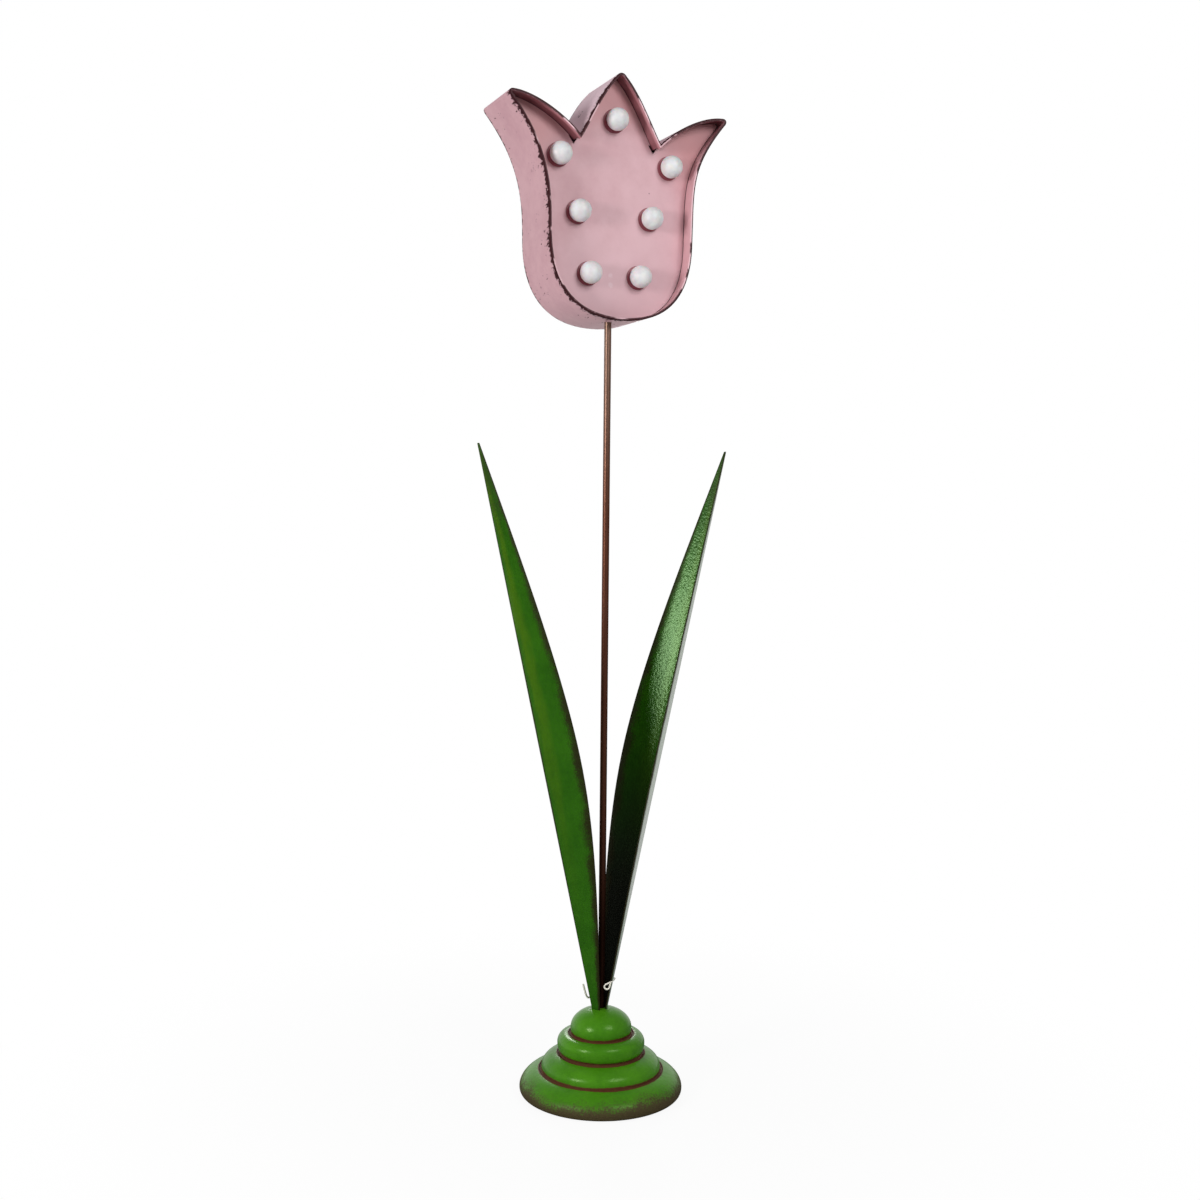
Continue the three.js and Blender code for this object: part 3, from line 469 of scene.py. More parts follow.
def blend(share, first, second):
    """Two colours mixed by a share"""
    inputs = {0: share, 6: first, 7: second}
    return place_node("ShaderNodeMix", inputs, data_type="RGBA", clamp_factor=True).outputs[2]


def cover(under, share, strength, over):
    """A colour laid over another where the share is high, at a strength"""
    return blend(times(share, strength), under, over)


def ramp(value, low, high, start=0, end=1):
    """A value taken from the range low to high into start to end, eased at both ends"""
    return place_node("ShaderNodeMapRange", {
        "Value": value, "From Min": low, "From Max": high, "To Min": start, "To Max": end,
    }, interpolation_type="SMOOTHSTEP").outputs["Result"]


def noise(vector, scale, detail=3, roughness=0.55):
    return place_node("ShaderNodeTexNoise", {
        "Vector": vector, "Scale": scale, "Detail": detail, "Roughness": roughness,
    }).outputs["Fac"]


def split(vector):
    return place_node("ShaderNodeSeparateXYZ", {"Vector": vector}).outputs


def stretched(vector, scale):
    """A place whose pattern is drawn out along the axes with a small scale"""
    return place_node("ShaderNodeMapping", {"Vector": vector, "Scale": scale}).outputs["Vector"]


def away_from(where, place):
    """Distance from a place on the piece"""
    inputs = {0: where, 1: place}
    return place_node("ShaderNodeVectorMath", inputs, operation="DISTANCE").outputs["Value"]


def towards_tips(where, y, reach):
    """Rises away from the petals' middle, up to 1 at their tips"""
    return ramp(away_from(where, (HEAD_X, y, PETALS_Z)), *reach)


def facing(where):
    """How far the surface faces along each axis, -1 to 1"""
    return split(where.id_data.nodes.new("ShaderNodeNewGeometry").outputs["Normal"])


# Shared effects
def group(name, output, *inputs):
    """A shader group that takes a place and some values: returns it, these and its one output"""
    tree = bpy.data.node_groups.new(name, "ShaderNodeTree")
    tree.interface.new_socket(name="Vector", in_out="INPUT", socket_type="NodeSocketVector")
    for socket in inputs:
        tree.interface.new_socket(name=socket, in_out="INPUT", socket_type="NodeSocketFloat")
    tree.interface.new_socket(name=output, in_out="OUTPUT", socket_type="NodeSocketFloat")
    start = tree.nodes.new("NodeGroupInput").outputs
    end = tree.nodes.new("NodeGroupOutput").inputs
    return tree, start["Vector"], start, end[output]


def use(shared, where, **inputs):
    """Places a shared group in a material, and gives back what it puts out"""
    named = {key.replace("_", " ").capitalize(): value for key, value in inputs.items()}
    return place_node("ShaderNodeGroup", {"Vector": where, **named}, node_tree=shared).outputs[0]


def make_mottle():
    """Slow and quick unevenness of a sprayed coat, as one value about 0.5"""
    tree, where, start, end = group("Mottle", "Value", "Slow scale", "Quick scale")
    slow = noise(where, start["Slow scale"], 2)
    quick = noise(where, start["Quick scale"], 4, 0.6)
    feed(end, plus(times(slow, 0.65), times(quick, 0.35)))
    return tree


def make_worn_edge():
    """Bare spots, thick at an edge and thin away from it. Distance is measured from the edge"""
    tree, where, start, end = group("Worn edge", "Mask", "Distance", "Reach", "Spot scale", "Patch scale")
    spots = noise(where, start["Spot scale"], 4, 0.65)
    patches = noise(where, start["Patch scale"], 2)
    away = sums("DIVIDE", start["Distance"], start["Reach"])
    near = sums("SUBTRACT", 1, away, clamp=True)
    push = times(sums("POWER", near, 2.2), 0.34)
    total = plus(spots, push, swing(patches, 0.5))
    feed(end, ramp(total, 0.7, 0.735))
    return tree


def make_spray_edge():
    """A darker spray laid over an edge, grainy where it thins out"""
    tree, where, start, end = group("Spray edge", "Mask", "Distance", "Reach", "Grain scale")
    grain = noise(where, start["Grain scale"], 3, 0.7)
    waves = noise(where, times(start["Grain scale"], 0.06), 2)
    level = minus(1, sums("DIVIDE", start["Distance"], start["Reach"]))
    total = plus(level, swing(grain, 1.7), swing(waves, 1.1))
    feed(end, ramp(total, 0.12, 0.85))
    return tree


def make_peel():
    """Orange peel of a sprayed gloss coat, as a height"""
    tree, where, start, end = group("Orange peel", "Height", "Scale")
    cells = place_node("ShaderNodeTexVoronoi", {
        "Vector": where, "Scale": start["Scale"], "Randomness": 1,
    }, feature="SMOOTH_F1")
    small = noise(where, times(start["Scale"], 0.7), 2)
    feed(end, plus(cells.outputs["Distance"], times(small, 0.9)))
    return tree


def make_ring_line():
    """A painted line round the axis, at a radius and a height, with a hand-drawn edge"""
    tree, where, start, end = group("Ring line", "Mask", "Radius", "Height", "Half width")
    parts = split(where)
    across = minus(long_side(parts["X"], parts["Y"]), start["Radius"])
    up = minus(parts["Z"], start["Height"])
    shake = swing(noise(where, 170, 3), 1.3 * MM)
    wide = swing(noise(where, 35, 1), 1.4 * MM)
    distance = plus(long_side(across, up), shake, wide)
    edge = minus(distance, start["Half width"])
    feed(end, ramp(edge, 0.35 * MM, -0.35 * MM))
    return tree


mottle = make_mottle()
worn_edge = make_worn_edge()
spray_edge = make_spray_edge()
peel = make_peel()
ring_line = make_ring_line()


# Finishes
def new_material(name, roughness, **constants):
    """A material with its shader's plain values: returns it and the place on the piece"""
    material = bpy.data.materials.new(name)
    material.use_nodes = True
    tree = material.node_tree
    for key, value in dict(Roughness=roughness, **constants).items():
        tree.nodes["Principled BSDF"].inputs[key.replace("_", " ")].default_value = value
    return material, tree.nodes.new("ShaderNodeTexCoord").outputs["Object"]


def dress(material, colour, height, depth, roughness=None):
    """Ends a finish in its colour and its fine relief, and its roughness where that changes"""
    shader = material.node_tree.nodes["Principled BSDF"].inputs
    relief = place_node("ShaderNodeBump", {"Height": height, "Distance": depth, "Strength": 1})
    feed(shader["Base Color"], colour)
    feed(shader["Normal"], relief.outputs["Normal"])
    if roughness:
        feed(shader["Roughness"], roughness)
    return material


def between(share, plain, worn):
    """A value from plain to worn by a share"""
    return plus(times(share, worn - plain), plain)


def sprayed_coat(where, slow, quick, spread, colours):
    """A coat that drifts between two near colours"""
    even = use(mottle, where, slow_scale=slow, quick_scale=quick)
    return blend(ramp(even, 0.5 - spread, 0.5 + spread), *colours)


def rim_wear(where):
    """How worn the front edge is: slow patches round 0.5, more on the left side and at the tips"""
    left = ramp(away_from(where, WORN_SIDE), *WORN_SIDE_REACH)
    tips = towards_tips(where, BAND_FRONT_Y, WORN_TIPS_REACH)
    more = most(times(left, 0.16), times(tips, 0.26))
    return plus(noise(where, 55, 2), more)


def pink_band():
    """Satin pink outside with a painted paler sheen on faces that look up, worn to dark steel at the
    front edge
    """
    plain = 0.48
    material, where = new_material("pink band", plain, Specular_IOR_Level=0.28)
    y = split(where)["Y"]
    from_front = minus(y, BAND_FRONT_Y)
    from_back = minus(BAND_BACK_Y, y)
    paint = sprayed_coat(where, 14, 130, 0.15, BAND_PINK)
    # Painted light: faces that look up are paler pink, a painted sheen of light from above; they are also
    # rougher
    upper = ramp(facing(where)["Z"], 0.3, 0.55)
    paint = cover(paint, upper, 0.85, BAND_PAINTED_SHEEN_PINK)
    flat = stretched(where, (1, 0.45, 1))
    ragged = noise(flat, 440, 3, 0.6)
    width = times(ramp(rim_wear(where), 0.42, 0.7), 1.8 * MM)
    shaken = plus(minus(from_front, width), swing(ragged, 24 * MM))
    flakes = ramp(shaken, 0.5 * MM, 0.2 * MM)
    uneven = plus(from_front, swing(ragged, 1.2 * MM))
    line = ramp(uneven, 0.6 * MM, 0.35 * MM)
    chips = use(worn_edge, flat, distance=from_front, reach=15 * MM, spot_scale=370, patch_scale=45)
    specks = use(worn_edge, flat, distance=from_back, reach=5 * MM, spot_scale=380, patch_scale=60)
    bare = most(line, flakes, chips, specks)
    paint = blend(bare, paint, blend(ragged, *BARE_STEEL))
    fine = times(noise(where, FINE_GRAIN, 2), 0.35)
    rough = between(most(bare, upper), plain, 0.85)
    return dress(material, paint, minus(fine, bare), 0.08 * MM, rough)


def pink_inside():
    """The band's inner wall: the same coat with painted shade, darker pink on faces that look down and
    deep maroon towards the lit face under the petals and at the petal tips
    """
    plain = 0.36
    material, where = new_material("pink inside", plain, Specular_IOR_Level=0.4)
    y = split(where)["Y"]
    from_front = minus(y, BAND_FRONT_Y)
    from_plate = minus(PLATE_FRONT_Y, y)
    paint = sprayed_coat(where, 16, 140, 0.15, INSIDE_PINK)
    # Painted shade: faces that look down are darker, and deep maroon where the recess is deepest and
    # towards the petal tips
    under = ramp(facing(where)["Z"], -0.2, -0.6)
    paint = cover(paint, under, 0.55, PAINTED_UNDERSIDE_SHADE)
    deep = times(ramp(from_plate, 14 * MM, 10.5 * MM), under, 0.72)
    tips = times(towards_tips(where, PLATE_FRONT_Y, SHADED_TIPS_REACH), 0.84)
    paint = blend(most(deep, tips), paint, PAINTED_RECESS_SHADE)
    # Painted highlight: a paler pink line just behind the front edge
    hem = ramp(from_front, 0.6 * MM, 0.3 * MM)
    paint = cover(paint, hem, 0.6, PAINTED_HEM_HIGHLIGHT)
    shaky = noise(where, 260, 3)
    shake = swing(shaky, 1.2 * MM)
    bare = times(ramp(rim_wear(where), 0.54, 0.64), 0.95)
    rim = times(ramp(plus(from_front, shake), 0.5 * MM, 0.1 * MM), bare)
    # Painted shade: a dark line in the corner where the wall meets the lit face; the dark spots along the
    # front edge are wear
    corner = ramp(plus(from_plate, shake), 1.2 * MM, 0.4 * MM)
    edges = most(rim, times(corner, 0.75))
    paint = blend(edges, paint, blend(shaky, *RIM_WEAR_AND_CORNER_SHADE))
    fine = noise(where, FINE_GRAIN, 2)
    return dress(material, paint, fine, 0.03 * MM, between(rim, plain, 0.75))


def pink_plate():
    """The lit face: satin pink, paler low down and redder in the petals as painted reflected light and
    shade from the maroon walls, with two weld marks
    """
    material, where = new_material("pink plate", 0.42, Specular_IOR_Level=0.4)
    paint = sprayed_coat(where, 11, 60, 0.17, PLATE_PINK)
    lower = ramp(split(where)["Z"], *PALE_PLATE_Z)
    paint = cover(paint, lower, 0.6, PALE_PLATE_PINK)
    # Painted reflection and shade: the plate turns redder towards the petal tips, as if lit by the maroon
    # walls, except low down
    outer = towards_tips(where, PLATE_FRONT_Y, REFLECTION_TIPS_REACH)
    outer = times(outer, ramp(lower, 0.3, 0))
    paint = cover(paint, outer, 0.85, PAINTED_WALL_REFLECTION_PINK)
    ragged = times(noise(where, 420, 3), 4 * MM)
    for height, size in WELD_MARKS:
        away = plus(away_from(where, (0, PLATE_FRONT_Y, height)), ragged)
        paint = cover(paint, ramp(away, size + 2 * MM, size), 0.6, WELD_PINK)
    speck = ramp(away_from(where, SPECK_PLACE), 0.8 * MM, 0.5 * MM)
    paint = cover(paint, speck, 0.6, SPECK_BROWN)
    waves = times(noise(where, 9, 1), 14)
    fine = times(noise(where, FINE_GRAIN, 2), 0.3)
    return dress(material, paint, plus(waves, fine), 0.05 * MM)


def pink_back():
    """The rear cover and its tabs: the same coat, rubbed in short level strokes"""
    material, where = new_material("pink back", 0.48)
    paint = sprayed_coat(where, 12, 90, 0.17, BACK_PINK)
    scuffs = noise(stretched(where, (1, 1, 9)), 46, 5, 0.7)
    paint = cover(paint, ramp(scuffs, 0.66, 0.74), 0.35, RUBBED_PINK)
    return dress(material, paint, noise(where, FINE_GRAIN, 2), 0.03 * MM)


def plum_plastic():
    material, where = new_material("plum plastic", 0.4)
    paint = blend(noise(where, 160, 2), *PLUM)
    return dress(material, paint, noise(where, 1400, 2), 0.02 * MM)


def frosted_globe():
    """Frosted plastic globe, brushed slightly uneven"""
    material, where = new_material(
        "frosted globe", 0.42, Subsurface_Weight=0.25, Subsurface_Scale=4 * MM,
    )
    white = sprayed_coat(where, 110, 420, 0.15, FROSTED_WHITE)
    return dress(material, white, noise(where, 520, 3), 0.05 * MM)


def leaf_enamel():
    """Gloss green on the folded sheet. The map runs 0 to 1 across the leaf and along it"""
    plain = 0.22
    material, where = new_material(
        "leaf enamel", plain, Specular_IOR_Level=0.25, Specular_Tint=LEAF_GLOSS,
    )
    place = split(where)
    sheet_map = material.node_tree.nodes.new("ShaderNodeUVMap")
    sheet_map.uv_map = "UVMap"
    sheet = split(sheet_map.outputs["UV"])
    from_fold = times(sums("ABSOLUTE", minus(sheet["X"], 0.5)), 2)
    grain = noise(stretched(where, (1, 1, 0.14)), 120, 4, 0.6)
    paint = sprayed_coat(where, 18, 160, 0.2, LEAF_GREEN)
    # Painted light: a yellower band along each wing near the fold, stronger higher up
    band = plus(from_fold, swing(grain, 0.5))
    high = ramp(place["Z"], 120 * MM, 420 * MM)
    painted_light_band = times(ramp(band, 0.02, 0.2), ramp(band, 0.5, 0.2), high)
    paint = cover(paint, painted_light_band, 0.5, LEAF_PAINTED_LIGHT)
    inner = ramp(times(facing(where)["X"], sums("SIGN", place["X"])), 0, -0.3)
    shaded = times(inner, ramp(place["Z"], 360 * MM, 170 * MM))
    paint = cover(paint, shaded, 0.94, LEAF_SHADE)
    edge = use(spray_edge, where, distance=minus(1, from_fold), reach=0.3, grain_scale=900)
    tip = use(spray_edge, where, distance=minus(1, sheet["Y"]), reach=0.2, grain_scale=900)
    fold = ramp(plus(from_fold, swing(grain, 0.05)), 0.05, 0.025)
    sprayed = most(edge, times(fold, 0.8), times(tip, 0.6))
    paint = cover(paint, sprayed, 0.94, LEAF_BROWN)
    cupped = times(place["Y"], inner, LEAF_CUP / LEAF_PEEL)
    height = plus(use(peel, where, scale=520), cupped)
    return dress(material, paint, height, LEAF_PEEL, between(sprayed, plain, 0.5))


def base_enamel():
    """Gloss green on turned wood, brown lines in the grooves and a worn brown foot"""
    plain = 0.28
    material, where = new_material(
        "base enamel", plain, Specular_IOR_Level=0.27, Specular_Tint=BASE_GLOSS,
    )
    green = sprayed_coat(where, 24, 200, 0.2, BASE_GREEN)
    lines = most(*(
        use(ring_line, where, radius=radius, height=height, half_width=GROOVE_LINE_HALF)
        for radius, height in (FLANGE_GROOVE, SHOULDER_GROOVE, RING_GROOVE)
    ))
    lined = blend(lines, green, blend(noise(where, 300, 3), *GROOVE_BROWN))
    above_edge = minus(split(where)["Z"], FOOT_EDGE_Z)
    foot = use(spray_edge, where, distance=above_edge, reach=14 * MM, grain_scale=700)
    weathered = blend(noise(where, 800, 3, 0.7), *FOOT_BROWN)
    paint = blend(foot, lined, weathered)
    rough = between(most(lines, foot), plain, 0.6)
    return dress(material, paint, use(peel, where, scale=330), BASE_PEEL, rough)


def rod_paint():
    """Brown rod, coppery under the head and darker between the leaves, where shade is painted in"""
    material, where = new_material(
        "rod paint", 0.36, Specular_IOR_Level=0.3, Specular_Tint=ROD_GLOSS, Metallic=0.6,
    )
    z = split(where)["Z"]
    streak = noise(stretched(where, (1, 1, 0.05)), 700, 4, 0.6)
    brown, copper, dark = (blend(streak, *colours) for colours in (ROD_BROWN, ROD_COPPER, ROD_PAINTED_SHADE))
    paint = blend(ramp(z, 500 * MM, 700 * MM), brown, copper)
    # Painted shade: the rod darkens low down between the leaves
    paint = blend(ramp(z, 260 * MM, 140 * MM), paint, dark)
    return dress(material, paint, streak, 0.03 * MM)


def plain_finish(name, first, second, roughness, scale, depth, metallic=0.0):
    """A small part's finish: two near colours in a fine grain"""
    material, where = new_material(name, roughness, Metallic=metallic)
    grain = noise(where, scale, 3)
    return dress(material, blend(grain, rgb(*first), rgb(*second)), grain, depth)


finish = {
    "band": pink_band(),
    "inside": pink_inside(),
    "plate": pink_plate(),
    "back": pink_back(),
    "plum": plum_plastic(),
    "globe": frosted_globe(),
    "leaf": leaf_enamel(),
    "base": base_enamel(),
    "rod": rod_paint(),
    "zinc": plain_finish("zinc", (150, 150, 150), (176, 176, 172), 0.38, 500, 0.02 * MM, 0.9),
    "felt": plain_finish("felt", (34, 34, 32), (54, 54, 50), 0.95, 1500, 0.2 * MM),
    "lamp": plain_finish("lamp", (236, 230, 204), (246, 242, 222), 0.2, 200, 0.01 * MM),
    "cable": plain_finish("cable", (120, 88, 60), (138, 104, 74), 0.6, 300, 0.02 * MM),
    "black": plain_finish("black plastic", (32, 32, 33), (44, 44, 45), 0.55, 1600, 0.03 * MM),
    "cell": plain_finish("cell sleeve", (50, 66, 80), (62, 80, 96), 0.35, 200, 0.01 * MM),
    "nylon": plain_finish("nylon", (226, 222, 206), (240, 237, 226), 0.35, 260, 0.02 * MM),
}


# Base
def base_outline():
    """The turning's outside, from its underside's rim to the bore in the dome"""
    r3, z3 = FLANGE_GROOVE
    r2, z2 = SHOULDER_GROOVE
    r1, z1 = RING_GROOVE
    half = GROOVE_HALF
    low = 1.5 * MM
    rim = (RIM_RADIUS, RIM_Z)
    points = bezier((FOOT_RADIUS, low), (73.4 * MM, 1.9 * MM), (RIM_RADIUS, 3.4 * MM), rim, 6)
    points += bezier(rim, (RIM_RADIUS, RIM_Z + 7 * MM), (r3 + 11 * MM, z3 - 2.4 * MM),
                     (r3 + half, z3 - 0.4 * MM), 14)
    points += [(r3 + half, z3 - 0.4 * MM), (r3 + 0.6 * half, z3 - 0.8 * GROOVE_DEPTH),
               (r3, z3 - GROOVE_DEPTH), (r3 - 0.8 * half, z3 - 0.4 * GROOVE_DEPTH)]
    points += bezier((r3 - half, z3 + 0.9 * MM), (r3 - 0.6 * MM, z3 + 7.5 * MM),
                     (r2 + 11 * MM, z2 - 2.6 * MM), (r2 + half, z2 - 0.5 * MM), 14)
    points += [(r2 + half, z2 - 0.5 * MM), (r2 + 0.5 * half, z2 - 0.85 * GROOVE_DEPTH),
               (r2 - 0.3 * MM, z2 - GROOVE_DEPTH), (r2 - 0.9 * half, z2 - 0.3 * GROOVE_DEPTH)]
    points += bezier((r2 - half, z2 + 0.9 * MM), (39.1 * MM, z2 + 2.3 * MM),
                     (RING_RADIUS, z2 + 5 * MM), (RING_RADIUS, RING_Z), 6)
    points += bezier((RING_RADIUS, RING_Z), (RING_RADIUS, RING_Z + 5.2 * MM),
                     (r1 + 7 * MM, z1 + 0.6 * MM), (r1 + half, z1 - 0.3 * MM), 12)
    points += [(r1 + half, z1 - 0.3 * MM), (r1 + 0.5 * half, z1 - 0.85 * GROOVE_DEPTH),
               (r1, z1 - GROOVE_DEPTH), (r1 - 0.9 * half, z1 - 0.3 * GROOVE_DEPTH)]
    points += bezier((r1 - half, z1 + 1 * MM), (27.7 * MM, z1 + 2.2 * MM),
                     (DOME_RADIUS, z1 + 4 * MM), (DOME_RADIUS, DOME_WIDEST_Z), 5)
    rise = DOME_TOP_Z - DOME_WIDEST_Z
    last = math.acos(BORE_RADIUS / DOME_RADIUS)
    for step in range(DOME_STEPS + 1):
        angle = last * step / DOME_STEPS
        points.append((DOME_RADIUS * math.cos(angle), DOME_WIDEST_Z + rise * math.sin(angle)))
    return points


def make_base():
    outer = base_outline()
    low = outer[0][1]
    inner = [(BORE_RADIUS, COUNTERBORE_TOP_Z), (COUNTERBORE_RADIUS, COUNTERBORE_TOP_Z),
             (COUNTERBORE_RADIUS, low)]
    piece = turn("base_turned", [*outer, *inner, outer[0]], BASE_STEPS)
    done(piece, "base", "base_turning", angle=30)


# Stem
def make_stem():
    low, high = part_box("stem_rod")
    radius = (high.x - low.x) / 2
    ease = 0.5 * MM
    profile = [(0, low.z), (radius - ease, low.z), (radius, low.z + ease),
               (radius, high.z - ease), (radius - ease, high.z), (0, high.z)]
    done(turn("stem", profile, ROUND_STEPS), "rod", "stem_rod")


# Leaves
def leaf_width(share):
    """Half of the sheet's width at a share of the leaf's length"""
    widest = LEAF_WIDEST_AT
    rest = 1 - widest
    low = ((0, LEAF_ROOT_WIDTH), (0.36 * widest, 0.61 * LEAF_WIDTH),
           (0.69 * widest, LEAF_WIDTH), (widest, LEAF_WIDTH))
    high = ((widest, LEAF_WIDTH), (widest + 0.29 * rest, LEAF_WIDTH),
            (widest + 0.65 * rest, 0.49 * LEAF_WIDTH), (1, LEAF_TIP_WIDTH))
    curve = [*bezier(*low, LEAF_CURVE_STEPS), *bezier(*high, LEAF_CURVE_STEPS), high[-1]]
    for before, after in zip(curve, curve[1:]):
        if share <= after[0]:
            part = (share - before[0]) / (after[0] - before[0])
            return before[1] + part * (after[1] - before[1])
    return LEAF_TIP_WIDTH


def turn_upright(angle):
    """Turns what is selected round the model's axis"""
    bpy.ops.transform.rotate(
        value=angle, orient_axis="Z", center_override=(0, 0, 0), orient_type="GLOBAL",
    )


def make_leaf(side):
    """A flat sheet cut to the leaf's outline, folded along its middle and leaned outwards"""
    bpy.ops.mesh.primitive_grid_add(
        x_subdivisions=LEAF_COLUMNS, y_subdivisions=LEAF_ROWS, size=1, calc_uvs=True,
        location=(0, 0, 0), rotation=(math.pi / 2, 0, 0),
    )
    piece = active(f"leaf_sheet_{side}")
    bpy.ops.object.transform_apply(location=True, rotation=True, scale=True)
    start_edit()
    root_x = LEAF_ROOT_X[side]
    step = 1 / LEAF_ROWS
    aside = 10
    crease = []
    for row in range(LEAF_ROWS + 1):
        share = (row - 1) / (LEAF_ROWS - 1)
        width = leaf_width(share) if row else TANG_WIDTH
        height = LEAF_ROOT_Z + share * (LEAF_TIP[1] - LEAF_ROOT_Z) if row else TANG_Z
        flat_z = row * step - 0.5
        crease.append((height, root_x + max(share, 0) * (LEAF_TIP[0] - root_x)))
        choose(piece, "VERT", lambda place, _, z=flat_z: (
            abs(place.z - z) < step / 4 and abs(place.y) < MM
        ))
        bpy.ops.transform.resize(value=(2 * width, 1, 1), center_override=(0, 0, 0))
        bpy.ops.transform.translate(value=(0, aside, height - flat_z))
    take_all()
    bpy.ops.transform.translate(value=(0, -aside, 0))
    for sign in (-1, 1):
        choose(piece, "VERT", lambda place, _, s=sign: s * place.x > TINY)
        turn_upright(sign * (math.pi / 2 - LEAF_FOLD_HALF))
    take_all()
    outwards = 1 if side == "right" else -1
    turn_upright(outwards * math.pi / 2)
    for height, x in crease:
        choose(piece, "VERT", lambda place, _, z=height: abs(place.z - z) < 0.5 * MM)
        bpy.ops.transform.translate(value=(outwards * x, 0, 0))
    end_edit()
    return piece


def make_leaves():
    for side in ("left", "right"):
        piece = make_leaf(side)
        modify(piece, "SOLIDIFY", thickness=LEAF_SHEET, offset=1, use_even_offset=True)
        break_edges(piece, LEAF_EASE)
        done(piece, "leaf", f"leaf_{side}")


# Head
def sway(z):
    """The body sits a little to the right of the petals' middle line"""
    share = min(max((z - SWAY_FULL_Z) / (SWAY_NONE_Z - SWAY_FULL_Z), 0), 1)
    return BODY_SWAY * (1 - share * share * (3 - 2 * share))


def half_outline():
    """Right half of the tulip's outline, from its lowest point to the crown's top"""
    tip_x, tip_z = PETAL_TIP
    start = (0, 0)
    stretches = [
        ((BODY_HALF_WIDTH, BODY_STRAIGHT_Z), (0.658, 0), (1, 0.341)),
        (PETAL_TIP, (0.018, 0.424), (0.054, 0.635)),
        ((tip_x - TIP_BLUNT[0], tip_z + TIP_BLUNT[1]), (-0.42, 0.65), (0, 1.06)),
        (NOTCH, (0.27, 0.013), (0.693, 0.389)),
        ((CROWN_BLUNT[0], CROWN_Z - CROWN_BLUNT[1]), (0.2, 0.195), (0.581, 0.747)),
        ((0, CROWN_Z), (0.26, 0.68), (0.65, 1)),
    ]
    points = []
    for (end, first, second), count in zip(stretches, OUTLINE_STEPS):
        handles = [
            tuple(a + share * (b - a) for a, b, share in zip(start, end, shares))
            for shares in (first, second)
        ]
        points += bezier(start, *handles, end, count)
        start = end
    return points


def head_outline():
    """The whole outline as (x, z) in the model's own place"""
    half = half_outline()
    right = [(x + sway(z), z) for x, z in half]
    left = [(-x + sway(z), z) for x, z in half[1:]]
    points = [*right, (0, CROWN_Z), *reversed(left)]
    return [(HEAD_X + x, HEAD_Z + z) for x, z in points]


outline_places = head_outline()


def on_outline(corner):
    near = 2 * TINY
    return any(abs(corner.co.x - x) < near and abs(corner.co.z - z) < near for x, z in outline_places)


def outline_face(name, y):
    """A flat face in the tulip's outline, left in edit mode"""
    return flat_face(name, [Vector((x, y, z)) for x, z in outline_places])


def cut(piece, cutter):
    """Takes a cutter's shape out of a piece"""
    modify(piece, "BOOLEAN", operation="DIFFERENCE", object=cutter, solver="EXACT")
    bpy.data.objects.remove(cutter)


def cylinder(radius, start, end):
    """A plain round cutter between two points"""
    along = Vector(end) - Vector(start)
    bpy.ops.mesh.primitive_cylinder_add(
        radius=radius, depth=along.length, vertices=ROUND_STEPS,
        location=(Vector(start) + Vector(end)) / 2,
        rotation=along.to_track_quat("Z", "Y").to_euler(),
    )
    return bpy.context.active_object


def prism(places, depth):
    """A cutter: a flat shape through the places, drawn out along +Y"""
    piece = flat_face("cutter", places)
    draw_out((0, depth, 0))
    face_outwards()
    end_edit()
    return piece


def at_depth(corner, y):
    return abs(corner.co.y - y) < TINY


def make_band():
    """Side strip: two rings inset from the outline, drawn back to the hem and to the wall's end"""
    piece = outline_face("band_shell", BAND_FRONT_Y)
    bpy.ops.mesh.inset(thickness=BAND_SHEET, use_even_offset=True)
    bpy.ops.mesh.inset(thickness=HEM_THICK - BAND_SHEET, use_even_offset=True)
    bpy.ops.mesh.delete(type="FACE")
    bpy.ops.mesh.select_mode(type="FACE")
    take_all()
    draw_out((0, HEM_DEPTH, 0))
    hem_y = BAND_FRONT_Y + HEM_DEPTH
    choose(piece, "FACE", lambda middle, face: (
        abs(middle.y - hem_y) < TINY and any(on_outline(corner) for corner in face.verts)
    ))
    draw_out((0, BAND_BACK_Y - hem_y, 0))
    choose(piece, "EDGE", lambda middle, edge: (
        abs(middle.y - hem_y) < TINY and all(on_outline(corner) for corner in edge.verts)
    ))
    bpy.ops.mesh.dissolve_edges(use_verts=True)
    face_outwards()
    end_edit()
    piece.data.materials.append(finish["band"])
    piece.data.materials.append(finish["inside"])
    only(piece)
    start_edit()
    choose(piece, "FACE", lambda middle, face: (
        middle.y < BAND_BACK_Y - TINY
        and not all(on_outline(corner) for corner in face.verts)
        and (middle.y > BAND_FRONT_Y + TINY or not any(on_outline(corner) for corner in face.verts))
    ))
    piece.active_material_index = 1
    bpy.ops.object.material_slot_assign()
    choose(piece, "EDGE", lambda middle, edge: (
        all(at_depth(corner, BAND_FRONT_Y) for corner in edge.verts)
        and len(edge.link_faces) == 2
        and edge.calc_face_angle(0) > 1
    ))
    bpy.ops.mesh.bevel(offset=HEM_EASE, segments=3, affect="EDGES")
    end_edit()
    cut(piece, cylinder(BORE_RADIUS, (0, 0, HEAD_Z - 4 * MM), (0, 0, HEAD_Z + 4 * MM)))
    done(piece, "band", "head_band", angle=40)


